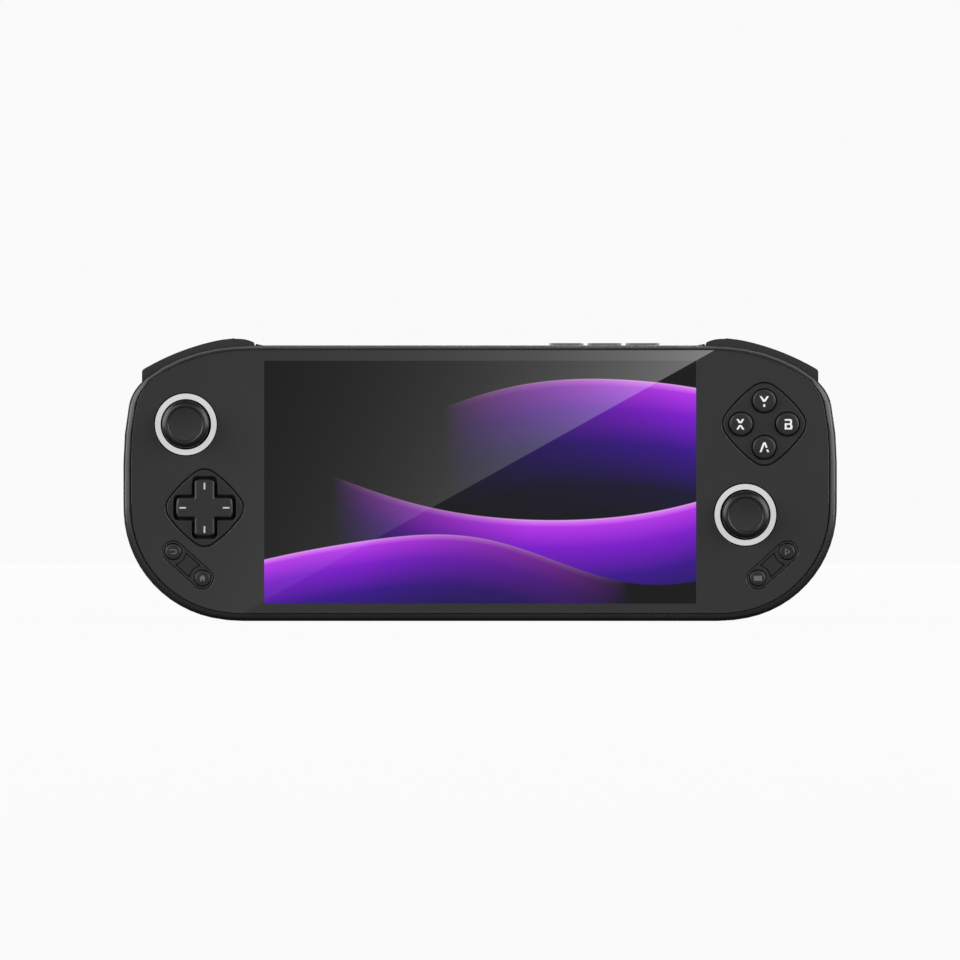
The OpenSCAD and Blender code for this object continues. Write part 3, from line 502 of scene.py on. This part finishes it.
class Sum:
    """A shader value that can be added, multiplied and so on."""

    def __init__(self, tree, socket):
        self.tree, self.socket = tree, socket

    def op(self, kind, *others):
        n = self.tree.nodes.new("ShaderNodeMath")
        n.operation = kind
        for i, v in enumerate((self,) + others):
            if isinstance(v, Sum):
                self.tree.links.new(v.socket, n.inputs[i])
            else:
                n.inputs[i].default_value = v
        return Sum(self.tree, n.outputs[0])

    def __add__(self, v):
        return self.op("ADD", v)

    def __sub__(self, v):
        return self.op("SUBTRACT", v)

    def __mul__(self, v):
        return self.op("MULTIPLY", v)

    def clamp(self):
        return self.op("MINIMUM", 1.0).op("MAXIMUM", 0.0)

    def wave(self, rate, start):
        return (self * rate + start).op("SINE")


def new_material(name):
    m = bpy.data.materials.new(name)
    m.use_nodes = True
    return m, m.node_tree, m.node_tree.nodes["Principled BSDF"]


def place(tree):
    """The object's own X and Z as shader values."""
    coord = tree.nodes.new("ShaderNodeTexCoord")
    split = tree.nodes.new("ShaderNodeSeparateXYZ")
    tree.links.new(coord.outputs["Object"], split.inputs[0])
    return Sum(tree, split.outputs["X"]), Sum(tree, split.outputs["Z"])


def noise(tree, scale, detail):
    coord = tree.nodes.new("ShaderNodeTexCoord")
    n = tree.nodes.new("ShaderNodeTexNoise")
    n.inputs["Scale"].default_value = scale
    n.inputs["Detail"].default_value = detail
    tree.links.new(coord.outputs["Object"], n.inputs["Vector"])
    return Sum(tree, n.outputs["Fac"])


def ramp(tree, value, stops):
    n = tree.nodes.new("ShaderNodeValToRGB")
    e = n.color_ramp.elements
    while len(e) < len(stops):
        e.new(0.5)
    for item, (pos, colour) in zip(e, stops):
        item.position = pos
        item.color = (*colour, 1.0)
    tree.links.new(value, n.inputs[0])
    return n.outputs[0]


def spread(tree, value, low, high):
    n = tree.nodes.new("ShaderNodeMapRange")
    n.inputs["To Min"].default_value = low
    n.inputs["To Max"].default_value = high
    tree.links.new(value, n.inputs["Value"])
    return n.outputs["Result"]


def mixed(tree, factor, a, b):
    n = tree.nodes.new("ShaderNodeMix")
    n.data_type = "RGBA"
    for name, v in (("Factor", factor), ("A", a), ("B", b)):
        sockets = [s for s in n.inputs if s.name == name and s.enabled]
        if isinstance(v, tuple):
            sockets[0].default_value = v
        else:
            tree.links.new(v, sockets[0])
    return [s for s in n.outputs if s.enabled][0]


GRAIN_DEPTH = 0.00004
GLOSS_RANGE = 0.06
GLASS_ROUGH = 0.004


def moulded(name, tone, rough, grain, bump, vary, coat=0.0, specular=0.5, metal=0.0, glow=0.0):
    """Moulded plastic, rubber or metal: a fine grain, uneven gloss and slow changes of tone."""
    m, tree, b = new_material(name)
    colour = tone if hasattr(tone, "__len__") else (tone, tone, tone * 1.02)
    slow, fine = noise(tree, 60.0, 4.0), noise(tree, grain, 2.0)
    both = slow * 0.65 + fine * 0.35
    dark = tuple(c * (1 - vary) for c in colour)
    light = tuple(min(1.0, c * (1 + vary)) for c in colour)
    shade = ramp(tree, both.socket, [(0.3, dark), (0.7, light)])
    tree.links.new(shade, b.inputs["Base Color"])
    if glow:
        tree.links.new(shade, b.inputs["Emission Color"])
        b.inputs["Emission Strength"].default_value = glow
    gloss = spread(tree, fine.socket, rough - GLOSS_RANGE, rough + GLOSS_RANGE)
    tree.links.new(gloss, b.inputs["Roughness"])
    h = tree.nodes.new("ShaderNodeBump")
    h.inputs["Strength"].default_value = bump
    h.inputs["Distance"].default_value = GRAIN_DEPTH
    tree.links.new(fine.socket, h.inputs["Height"])
    tree.links.new(h.outputs["Normal"], b.inputs["Normal"])
    b.inputs["Metallic"].default_value = metal
    b.inputs["Specular IOR Level"].default_value = specular
    b.inputs["Coat Weight"].default_value = coat
    b.inputs["Coat Roughness"].default_value = GLASS_ROUGH
    return m


def picture_material():
    """A lit picture: soft violet waves over black, brightest along their crests."""
    m, tree, b = new_material("lit_picture")
    x, z = place(tree)
    s = x * (1000.0 / SCREEN_HALF[0])
    t = (z - SCREEN_Y * MM) * (1000.0 / SCREEN_HALF[1])
    night = (0.011, 0.011, 0.012)
    glow = [
        (0.0, (1.0, 0.6, 1.0)), (0.012, (0.72, 0.2, 0.95)), (0.05, (0.46, 0.04, 0.82)),
        (0.2, (0.2, 0.014, 0.6)), (0.42, (0.045, 0.01, 0.26)), (0.7, (0.014, 0.012, 0.04)),
        (1.0, night),
    ]
    # Each wave: the height of its crest, how strong it is along the width, how fast it darkens
    crests = [
        (s.wave(2.3, 0.2) * 0.28 + s.wave(4.1, 2.0) * 0.05 + 0.62, s * 0.9 + 0.15, 0.8),
        (s.wave(1.9, -2.2) * 0.34 + s.wave(3.6, 0.4) * 0.05 - 0.02, s * 1.1 + 0.75, 0.85),
        (s.wave(2.6, 2.4) * 0.2 + s.wave(5.2, 1.1) * 0.03 - 0.62, s * -0.8 + 0.55, 1.0),
    ]
    crispness = 120.0
    black = colour = (*night, 1)
    for crest, strength, reach in crests:
        depth = crest - t
        tone = ramp(tree, (depth * reach).clamp().socket, glow)
        dim = mixed(tree, strength.clamp().socket, black, tone)
        colour = mixed(tree, (depth * crispness).clamp().socket, colour, dim)
    tree.links.new(colour, b.inputs["Emission Color"])
    b.inputs["Emission Strength"].default_value = 1.0
    b.inputs["Base Color"].default_value = (0.004, 0.004, 0.004, 1)
    b.inputs["Roughness"].default_value = 0.5
    b.inputs["Specular IOR Level"].default_value = 0.0
    b.inputs["Coat Weight"].default_value = 1.0
    b.inputs["Coat Roughness"].default_value = GLASS_ROUGH
    b.inputs["Coat IOR"].default_value = 1.47
    return m


# Tone or colour, roughness, scale and depth of the grain, change of tone
PANEL_MAT = moulded("panel", 0.037, 0.45, 3000, 0.03, 0.04, coat=1.0, specular=0.1)
FRAME_MAT = moulded("frame", 0.021, 0.26, 2200, 0.05, 0.08)
WALL_MAT = moulded("frame_wall", 0.021, 0.55, 2200, 0.12, 0.1, specular=0.03)
REAR_MAT = moulded("rear", 0.026, 0.5, 1600, 0.35, 0.15)
BEZEL_MAT = moulded("bezel", 0.0205, 0.42, 2600, 0.06, 0.06, specular=0.35)
BUTTON_MAT = moulded("button", 0.021, 0.36, 2600, 0.06, 0.08, specular=0.35)
DPAD_MAT = moulded("dpad", 0.0265, 0.34, 2600, 0.06, 0.06, specular=0.4)
RUBBER_MAT = moulded("cap_rubber", 0.0095, 0.34, 2400, 0.1, 0.1)
GRIP_MAT = moulded("grip_rubber", 0.0355, 0.8, 2400, 0.2, 0.08, specular=0.05)
# The dome is black; its tone is also lowered as painted shade for the gap around the cap
DOME_MAT = moulded("dome", 0.006, 0.6, 2400, 0.1, 0.1, specular=0.1)
RING_MAT = moulded("ring", 0.1, 0.5, 2400, 0.05, 0.02, specular=0.1, glow=5.6)
SHOULDER_MAT = moulded("shoulder", 0.0235, 0.5, 1800, 0.22, 0.12, specular=0.25)
TOP_KEY_MAT = moulded("top_key", 0.14, 0.36, 2400, 0.06, 0.08)
LETTER_MAT = moulded("letter", 0.9, 0.5, 2400, 0.05, 0.02)
# Near black: painted shade for the gaps and grooves that it lines
GAP_SHADE_MAT = moulded("painted_gap_shade", 0.004, 0.7, 2400, 0.05, 0.1, specular=0.1)
MARK_MAT = moulded("mark", 0.6, 0.5, 2400, 0.05, 0.03)
ICON_MAT = moulded("icon", 0.13, 0.5, 2400, 0.05, 0.05)
STEEL_MAT = moulded("steel", 0.6, 0.28, 3000, 0.06, 0.06, metal=1.0)
BLACK_STEEL_MAT = moulded("black_steel", 0.05, 0.35, 3000, 0.1, 0.1, metal=0.8)
BOARD_MAT = moulded("board", (0.008, 0.024, 0.017), 0.45, 1200, 0.1, 0.25, coat=0.2)
COPPER_MAT = moulded("copper", (0.7, 0.35, 0.18), 0.35, 1800, 0.08, 0.08, metal=1.0)
WRAP_MAT = moulded("wrap", 0.04, 0.3, 900, 0.1, 0.1)
WHITE_MAT = moulded("natural", (0.7, 0.7, 0.67), 0.45, 1800, 0.08, 0.05)
SILICONE_MAT = moulded("silicone", 0.18, 0.55, 1800, 0.15, 0.1)
BLACK_MAT = moulded("black", 0.012, 0.55, 1800, 0.15, 0.15)
PICTURE_MAT = picture_material()

# Materials of the CAD nodes, for those that no piece here stands for
CARRIED = {
    "board": BOARD_MAT, "steel": STEEL_MAT, "graphite_copper": COPPER_MAT, "cell_wrap": WRAP_MAT,
    "white_plastic": WHITE_MAT, "membrane_rubber": SILICONE_MAT, "bracket_plastic": BLACK_MAT,
    "black_steel": BLACK_STEEL_MAT, "panel_glass": PANEL_MAT, "screen": PICTURE_MAT,
    "frame_shell": FRAME_MAT, "rear_shell": REAR_MAT, "bezel_plastic": BEZEL_MAT,
    "button_plastic": BUTTON_MAT, "cap_rubber": RUBBER_MAT, "ring_plastic": RING_MAT,
    "top_key_plastic": TOP_KEY_MAT,
}
for sub in frame["record"]["subparts"]:
    data = NODES[sub["node"]].data
    data.materials.clear()
    data.materials.append(CARRIED[sub["material_slot"]])
for side in SIDES:
    NODES[side + "_stick_housing"].data.materials[0] = BLACK_STEEL_MAT

# Case
case = skin("mid_frame", FRAME_MAT, "case", shape=shape_rim)
case.data.materials.append(WALL_MAT)
for p in case.data.polygons:
    front = min(case.data.vertices[i].co.y for i in p.vertices)
    p.material_index = int(front > at(0, 0, MATTE_BELOW).y)
skin("rear_cover", REAR_MAT, "case")
skin("rear_screws", BLACK_STEEL_MAT, "case", 0.08)
skin("usb_port", STEEL_MAT, "case")

# Front panel and screen
STICK_HOLE = 9.02
KEY_PLATE = 2.94
DPAD_LINE = (11.903, 6.973, (4.455, 31.4))
FACE_LINE = (12.79, 7.466, (4.85, 34.13))
stick_holes = [circle(c, STICK_HOLE, 128, True) for side, c in STICKS]
dpad_hole = backed(diamond(DPAD, *DPAD_LINE, True), BEZEL_GAP)
face_hole = backed(diamond(BUTTONS, *FACE_LINE, True), BEZEL_GAP)
dpad_edge = backed(diamond(DPAD, *DPAD_LINE), BEZEL_GAP)
face_edge = backed(diamond(BUTTONS, *FACE_LINE), BEZEL_GAP)
key_holes = [pill(*keys, KEY_PLATE + BEZEL_GAP, True) for keys in (LEFT_KEYS, RIGHT_KEYS)]
window = eased(box_loop(SCREEN, SCREEN_HALF, 0.3, True), 0)
panel_holes = stick_holes + [dpad_hole, face_hole] + key_holes + [window]
panel = plate(
    "front_panel_plate", panel_edge, panel_holes, PANEL, FACE, 0.12,
    PANEL_MAT, "case",
)
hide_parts("front_panel")
clear = tuple(v - 0.004 for v in SCREEN_HALF)
plate(
    "screen_face", box_loop(SCREEN, clear, 0.3), [], PANEL + 0.02, FACE, 0,
    PICTURE_MAT, "case",
)
whole = tuple(v + 1.1 for v in SCREEN_HALF)
lit = plate(
    "lit_display", box_loop(SCREEN, whole, 0.4), [], WEB, PANEL, 0.1,
    PICTURE_MAT, "case",
)
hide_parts("display")


def gap_shade(name, outer, inner):
    """A near-black sheet at the bottom of the gap around a bezel: painted shade for the gap."""
    plate(name, outer, [inner], PANEL, FACE - 0.3, 0, GAP_SHADE_MAT, "case")


# The four ways from a centre, clockwise from the top
WAYS = {"up": (0, 1), "right": (1, 0), "down": (0, -1), "left": (-1, 0)}


def around(c, r):
    return [(c[0] + r * x, c[1] + r * y) for x, y in WAYS.values()]


# Rings and bezels
RING_IN, RING_OUT, RING_BACK = 7.14, 8.67, BEZEL - 0.3
for (side, c), hole in zip(STICKS, stick_holes):
    corners = [(RING_IN, RING_BACK), (RING_IN, BEZEL), (RING_OUT, BEZEL), (RING_OUT, RING_BACK)]
    profile = bend(corners, 0.08) + [Vector(corners[0])]
    ring = lathe(side + "_light_ring", c, profile, RING_MAT, "case", 128)
    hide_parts(side + "_ring")
    # A near-black sheet under the ring, seen in the gaps beside it: painted shade
    plate(
        side + "_ring_gap_shade", hole, [circle(c, 7.1, 128, True)], PANEL, RING_BACK - 0.02, 0,
        GAP_SHADE_MAT, "case",
    )
bezel = plate(
    "dpad_bezel_plate", dpad_edge, [eased(cross(DPAD, 8.76, 3.5, 1.3, 0.5, True), 2.0)],
    PANEL, BEZEL, 0.2, BEZEL_MAT, "case",
)
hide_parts("dpad_bezel")
gap_shade("dpad_bezel_gap_shade", dpad_hole, dpad_edge)
spots = dict(zip(("north", "east", "south", "west"), around(BUTTONS, 6.55)))
bezel = plate(
    "face_bezel_plate", face_edge, [circle(c, 3.46, 64, True) for c in spots.values()],
    PANEL, BEZEL, 0.2, BEZEL_MAT, "case",
)
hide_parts("face_bezel")
gap_shade("face_bezel_gap_shade", face_hole, face_edge)
for side, keys, hole in zip(SIDES, (LEFT_KEYS, RIGHT_KEYS), key_holes):
    bezel = plate(
        side + "_key_plate", pill(*keys, KEY_PLATE), [circle(c, 2.44, 48, True) for c in keys],
        PANEL, BEZEL, 0.1, BEZEL_MAT, "case",
    )
    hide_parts(side + "_key_bezel")
    gap_shade(side + "_key_gap_shade", hole, pill(*keys, KEY_PLATE, True))
    # A near-black band around the inlay: painted shade for the groove around it
    plate(
        side + "_key_groove_shade", waisted(*keys, 2.38, 3.47), [], BEZEL - 0.1, BEZEL + 0.012, 0,
        GAP_SHADE_MAT, "case",
    )
    plate(
        side + "_key_inlay", waisted(*keys, 2.07, 3.78), [], BEZEL - 0.1, BEZEL + 0.03, 0,
        BEZEL_MAT, "case",
    )

# Thumb sticks: a dome, a soft cap and a dished grip in it
DOME_OUT, DOME_IN = 7.88, 6.98
CAP_LOW, CAP_TOP = PIVOT + 8.4, PIVOT + 10.3
WELL_R, WELL_FLOOR = 4.7, CAP_LOW + 0.3
GRIP_R, GRIP_BACK = 4.66, CAP_LOW + 0.31
DISH_EDGE, DISH_R = 4.6, 10.9
for side, c in STICKS:
    turns = [math.radians(a) for a in range(69, 23, -3)]
    dome = [(DOME_OUT * math.sin(a), PIVOT + DOME_OUT * math.cos(a)) for a in turns]
    inside = [(DOME_IN * math.sin(a), PIVOT + DOME_IN * math.cos(a)) for a in reversed(turns)]
    neck = [(3.21, CAP_LOW - 0.1), (0, CAP_LOW - 0.1)]
    profile = [(0, PIVOT + 6.9)] + inside + dome + neck
    lathe(side + "_stick_dome", c, profile, DOME_MAT, side + "_stick", 128, 50)
    turns = [math.radians(7.5 * k) for k in range(13)]
    shoulder = [(5.25 + 1.39 * math.cos(a), CAP_TOP - 1.45 + 1.4 * math.sin(a)) for a in turns]
    lip = [(4.75, CAP_TOP - 0.06), (WELL_R, CAP_TOP - 0.12)]
    well = [(WELL_R, WELL_FLOOR), (0, WELL_FLOOR)]
    foot = [(0, CAP_LOW - 0.08), (5.7, CAP_LOW + 0.02), (6.4, CAP_LOW + 0.12)]
    profile = foot + shoulder + lip + well
    o = lathe(side + "_thumb_cap", c, profile, RUBBER_MAT, side + "_stick", 128, 50)
    sag = math.sqrt(DISH_R ** 2 - DISH_EDGE ** 2)
    dish = [
        (r, CAP_TOP - 0.06 - math.sqrt(DISH_R ** 2 - r * r) + sag)
        for r in (DISH_EDGE, 4.2, 3.6, 2.8, 1.9, 1.0, 0)
    ]
    profile = [(0, GRIP_BACK), (GRIP_R, GRIP_BACK), (GRIP_R, CAP_TOP - 0.1)] + dish
    lathe(side + "_thumb_grip", c, profile, GRIP_MAT, side + "_stick", 128, 50)
    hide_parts(side + "_stick_cap")

# Direction pad
PAD_TOP = FACE + 1.5
pad = plate(
    "dpad_cross", bowed_cross(DPAD, 7.95, 2.78, 0.35, 0.7, 0.35), [], 11.95, PAD_TOP, 0.55,
    DPAD_MAT, "dpad_cap", 6,
)
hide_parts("dpad_cap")
plate(
    "dpad_flange", cross(DPAD, 9.38, 4.23, 0.3, 0.3), [], 11.36, 11.94, 0.05,
    DPAD_MAT, "dpad_cap", 2,
)
for name, near, far in zip(WAYS, around(DPAD, 5.2), around(DPAD, 7.05)):
    plate(
        "dpad_tick_" + name, ribbon([near, far], 0.44), [], PAD_TOP - 0.05, PAD_TOP + 0.015, 0,
        MARK_MAT, "dpad_cap",
    )

# Face buttons with plain stencil letters: for each part, its outline and its holes
LETTERS = {
    "north": [
        [([(-1.42, 1.44), (-0.78, 1.44), (-0.02, 0.42), (0.72, 1.44), (1.38, 1.44),
           (0.36, -0.28), (-0.4, -0.28)], 0.08)],
        [([(-0.35, -0.85), (0.31, -0.85), (0.31, -1.69), (-0.35, -1.69)], 0.06)],
    ],
    "west": [
        [([(-1.44, 1.52), (-0.72, 1.52), (-0.22, 0.78), (0.28, 1.52), (1.0, 1.52),
           (0.2, 0.26), (-0.64, 0.26)], 0.06)],
        [([(-0.62, -0.2), (0.18, -0.2), (1.0, -1.52), (0.28, -1.52), (-0.22, -0.72),
           (-0.72, -1.52), (-1.44, -1.52)], 0.06)],
    ],
    "south": [
        [([(-0.36, 1.5), (0.4, 1.5), (0.98, -0.04), (0.4, -0.22), (0.02, 0.75),
           (-0.74, -1.36), (-1.42, -1.36)], 0.07)],
        [([(0.5, -0.5), (1.1, -0.5), (1.42, -1.36), (0.8, -1.36)], 0.05)],
    ],
    "east": [
        [([(-0.85, 1.52), (1.32, 1.52), (1.32, 0.3), (1.12, 0.05), (1.44, -0.2), (1.44, -1.52),
           (-0.85, -1.52), (-0.85, 0.33), (0.66, 0.33), (0.66, 0.95), (-0.85, 0.95)],
          [0.05, 0.55, 0.2, 0.05, 0.2, 0.6, 0.05, 0.05, 0.2, 0.2, 0.05]),
         ([(-0.2, -0.22), (0.72, -0.22), (0.72, -0.98), (-0.2, -0.98)],
          [0.05, 0.25, 0.25, 0.05])],
    ],
}
LETTER_THIN, LETTER_DROP = 0.05, 0.07
BUTTON_TOP = FACE + 1.4
for name, c in spots.items():
    body = "button_" + name
    profile = [(0, KEY_BACK), (3.98, KEY_BACK), (3.98, FLANGE), (3.24, FLANGE)]
    crown = [(3.24, FLANGE + 0.06), (3.24, BUTTON_TOP - 0.16), (2.7, BUTTON_TOP - 0.02)]
    profile += bend(crown + [(0, BUTTON_TOP)], 0.5)
    o = lathe("face_button_" + name, c, profile, BUTTON_MAT, body, 72)
    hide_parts(body)
    for part, shape in zip(("upper", "lower"), LETTERS[name]):
        loops = []
        for i, (points, r) in enumerate(shape):
            corners = [(c[0] + x, c[1] + y - LETTER_DROP) for x, y in points]
            loops.append(backed(rounded(corners, r, 6, i > 0), LETTER_THIN))
        plate(
            f"letter_{name}_{part}", loops[0], loops[1:], BUTTON_TOP - 0.05, BUTTON_TOP + 0.015, 0,
            LETTER_MAT, body,
        )

# Function keys with plain signs
KEY_TOP = FACE + 0.35


def key(node, c, outer, holes=()):
    profile = [(0, KEY_BACK), (2.73, KEY_BACK), (2.73, FLANGE), (2.24, FLANGE)]
    crown = [(2.24, FLANGE + 0.06), (2.24, KEY_TOP - 0.14), (1.75, KEY_TOP - 0.02)]
    profile += bend(crown + [(0, KEY_TOP)], 0.3)
    o = lathe(node + "_cap", c, profile, BUTTON_MAT, node, 56)
    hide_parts(node)
    plate(
        node + "_sign", shifted(outer, c), [shifted(h, c) for h in holes],
        KEY_TOP - 0.1, KEY_TOP + 0.012, 0, ICON_MAT, node,
    )


turn_back = [
    (-1.1, 0.55), (0.5, 0.55), (0.85, 0.35), (0.95, 0.0),
    (0.85, -0.35), (0.5, -0.55), (-0.5, -0.55),
]
key("back_key", LEFT_KEYS[0], ribbon(turn_back, 0.24))
house = [
    (0, 0.95), (0.95, 0.1), (0.66, 0.1), (0.66, -0.85), (0.24, -0.85), (0.24, -0.35),
    (-0.24, -0.35), (-0.24, -0.85), (-0.66, -0.85), (-0.66, 0.1), (-0.95, 0.1),
]
key("home_key", LEFT_KEYS[1], rounded(house, 0.03, 3))
key("menu_key", RIGHT_KEYS[1], box_loop((0, 0), (1.17, 0.72), 0.08))
arrow = rounded([(-0.65, 0.95), (1.0, 0), (-0.65, -0.95)], 0.06, 4)
arrow_hole = rounded([(-0.42, 0.56), (0.55, 0), (-0.42, -0.56)], 0.03, 3, True)
key("start_key", RIGHT_KEYS[0], arrow, [arrow_hole])

# Rubber mats on the control boards, with a dome under each key
MAT_T = 0.5


def mat(node, outer, holes, domes):
    sheet = plate(
        node + "_sheet", outer, holes, BOARD, BOARD + MAT_T, 0.1,
        SILICONE_MAT, "case", 2,
    )
    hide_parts(node)
    low = BOARD + 0.49
    for name, c, r, high, joint, keep in domes:
        skirt = [(0, low), (r, low), (r, low + 0.1), (0.72 * r, low + 0.2)]
        profile = bend(skirt + [(0.65 * r, high), (0, high)], 0.2)
        o = lathe(f"{node}_{name}", c, profile, SILICONE_MAT, "case", 48)
        tuple(at(*c, low))
        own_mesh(o)


DOME_TOP, PAD_DOME_TOP = 12.08, 11.25
DEEP, SHALLOW = 0.38, 0.72  # what is left of a dome's height when its key is pressed
mat(
    "face_membrane", rounded(around(BUTTONS, 7.95 * math.sqrt(2)), 4.2, 12), [],
    [(name, c, 2.6, DOME_TOP, f"button_{name}_press", DEEP) for name, c in spots.items()],
)
KEY_NAMES = (("back", "home"), ("start", "menu"))
for side, keys, names in zip(SIDES, (LEFT_KEYS, RIGHT_KEYS), KEY_NAMES):
    mat(
        side + "_key_membrane", pill(*keys, 3.05), [],
        [(name, c, 1.9, DOME_TOP, name + "_key_press", SHALLOW) for name, c in zip(names, keys)],
    )
pad_joints = ("dpad_up_down", "dpad_side_to_side") * 2
pad_domes = [
    (name, c, 1.9, PAD_DOME_TOP, joint, DEEP)
    for name, c, joint in zip(WAYS, around(DPAD, 6.3), pad_joints)
]
mat("dpad_membrane", circle(DPAD, 9.49), [circle(DPAD, 3.7, 64, True)], pad_domes)

# Centring springs, with room for the hub to lean above them
SPRING_LOW, SPRING_HIGH = 6.54, 8.95
for side, c in STICKS:
    o = coil(
        side + "_centring_spring", c, 1.45, 0.17, 4, SPRING_LOW, SPRING_HIGH,
        STEEL_MAT, "case",
    )
    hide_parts(side + "_stick_spring")

# Shoulders and top keys
for side in SIDES:
    for node in (side + "_bumper", side + "_trigger"):
        skin(node, SHOULDER_MAT, node, 0.35, 3, round_crown, 0.6)
for name in ("power_key", "volume_up_key", "volume_down_key"):
    skin(name, TOP_KEY_MAT, name, 0.12)

# Stage, light and camera
PALE, AMBIENT = 0.955, 0.03
scene = bpy.context.scene
floor_mat, tree, b = new_material("pale_floor")
b.inputs["Base Color"].default_value = (0.01, 0.01, 0.01, 1)
b.inputs["Emission Color"].default_value = (1, 1, 1, 1)
b.inputs["Emission Strength"].default_value = PALE
b.inputs["Specular IOR Level"].default_value = 0.0
bpy.ops.mesh.primitive_circle_add(
    vertices=96, radius=4.0, fill_type="NGON", location=(0, 0, -0.0002)
)
floor = bpy.context.object
floor.name = "floor"
floor.data.materials.append(floor_mat)
floor.visible_glossy = False
floor.visible_diffuse = False

world = bpy.data.worlds.new("studio")
scene.world = world
world.use_nodes = True
wt = world.node_tree
background = wt.nodes["Background"]
background.inputs["Color"].default_value = (1, 1, 1, 1)
path = wt.nodes.new("ShaderNodeLightPath")
seen = spread(wt, path.outputs["Is Camera Ray"], AMBIENT, PALE)
wt.links.new(seen, background.inputs["Strength"])


def lamp(name, spot, size, power):
    """A soft light that faces the middle of the part."""
    data = bpy.data.lights.new(name, "AREA")
    data.shape = "RECTANGLE"
    data.size, data.size_y = size
    data.energy = power
    o = bpy.data.objects.new(name, data)
    scene.collection.objects.link(o)
    o.location = spot
    o.rotation_euler = (Vector((0, 0, 0.04)) - Vector(spot)).to_track_quat("-Z", "Y").to_euler()
    o.visible_camera = False


for side, s in zip(SIDES, (-1, 1)):
    lamp(side + "_key", (s * 1.06, -1.06, 0.45), (1.6, 0.9), 17)
for side, s in zip(SIDES, (-1, 1)):
    lamp(side + "_rim", (s * 1.5, 0.12, 0.62), (1.5, 1.65), 28)
lamp("top_strip", (0, 0.95, 1.35), (2.6, 1.0), 6)
lamp("back_fill", (0, 1.7, 0.25), (0.9, 0.9), 16)

# A slanted card behind the camera; the glass shows it as a sheen that grows to the upper right
DISTANCE = 2.6
EYE = (-0.00004, 0.03981)
PIXEL = 0.282
PHOTO_W, PHOTO_MID, PHOTO_LOW = 960, 480.1, 620.79
SHEEN_CORNERS = ((120, 680.6), (120, 329), (752, 329))
SHEEN_ACROSS, SHEEN_UP, SHEEN_GAIN, SHEEN_BASE = 12.94, 5.82, 1.643, 0.12


def mirrored(px, py):
    """Where the card has to be for the glass to show it at a point of the photograph."""
    x, y = (px - PHOTO_MID) * PIXEL, (PHOTO_LOW - py) * PIXEL
    return (2 * MM * x - EYE[0], -DISTANCE - 0.02, 2 * MM * y - EYE[1])


card_mat, tree, b = new_material("sheen_card")
x, z = place(tree)
glow = (x * SHEEN_ACROSS - z * SHEEN_UP).op("EXPONENT") * SHEEN_GAIN - SHEEN_BASE
tree.links.new(glow.op("MAXIMUM", 0.0).socket, b.inputs["Emission Strength"])
b.inputs["Emission Color"].default_value = (1, 1, 1, 1)
b.inputs["Base Color"].default_value = (0, 0, 0, 1)
b.inputs["Specular IOR Level"].default_value = 0.0
card_mesh = bpy.data.meshes.new("sheen_card")
card_mesh.from_pydata([mirrored(*p) for p in SHEEN_CORNERS], [], [(0, 1, 2)])
card_mesh.materials.append(card_mat)
card = bpy.data.objects.new("sheen_card", card_mesh)
scene.collection.objects.link(card)
card.visible_camera = False
card.visible_diffuse = False
card.visible_shadow = False

SENSOR = 36
FACE_DEPTH = 0.0078  # how far the front of the panel is before the middle
cam = bpy.data.cameras.new("camera")
cam.sensor_width = SENSOR
cam.lens = SENSOR * (DISTANCE - FACE_DEPTH) / (PHOTO_W * PIXEL * MM)
cam.clip_end = 50
eye = bpy.data.objects.new("camera", cam)
scene.collection.objects.link(eye)
eye.location = (EYE[0], -DISTANCE, EYE[1])
eye.rotation_euler = (math.pi / 2, 0, 0)
scene.camera = eye
scene.view_settings.view_transform = "Standard"
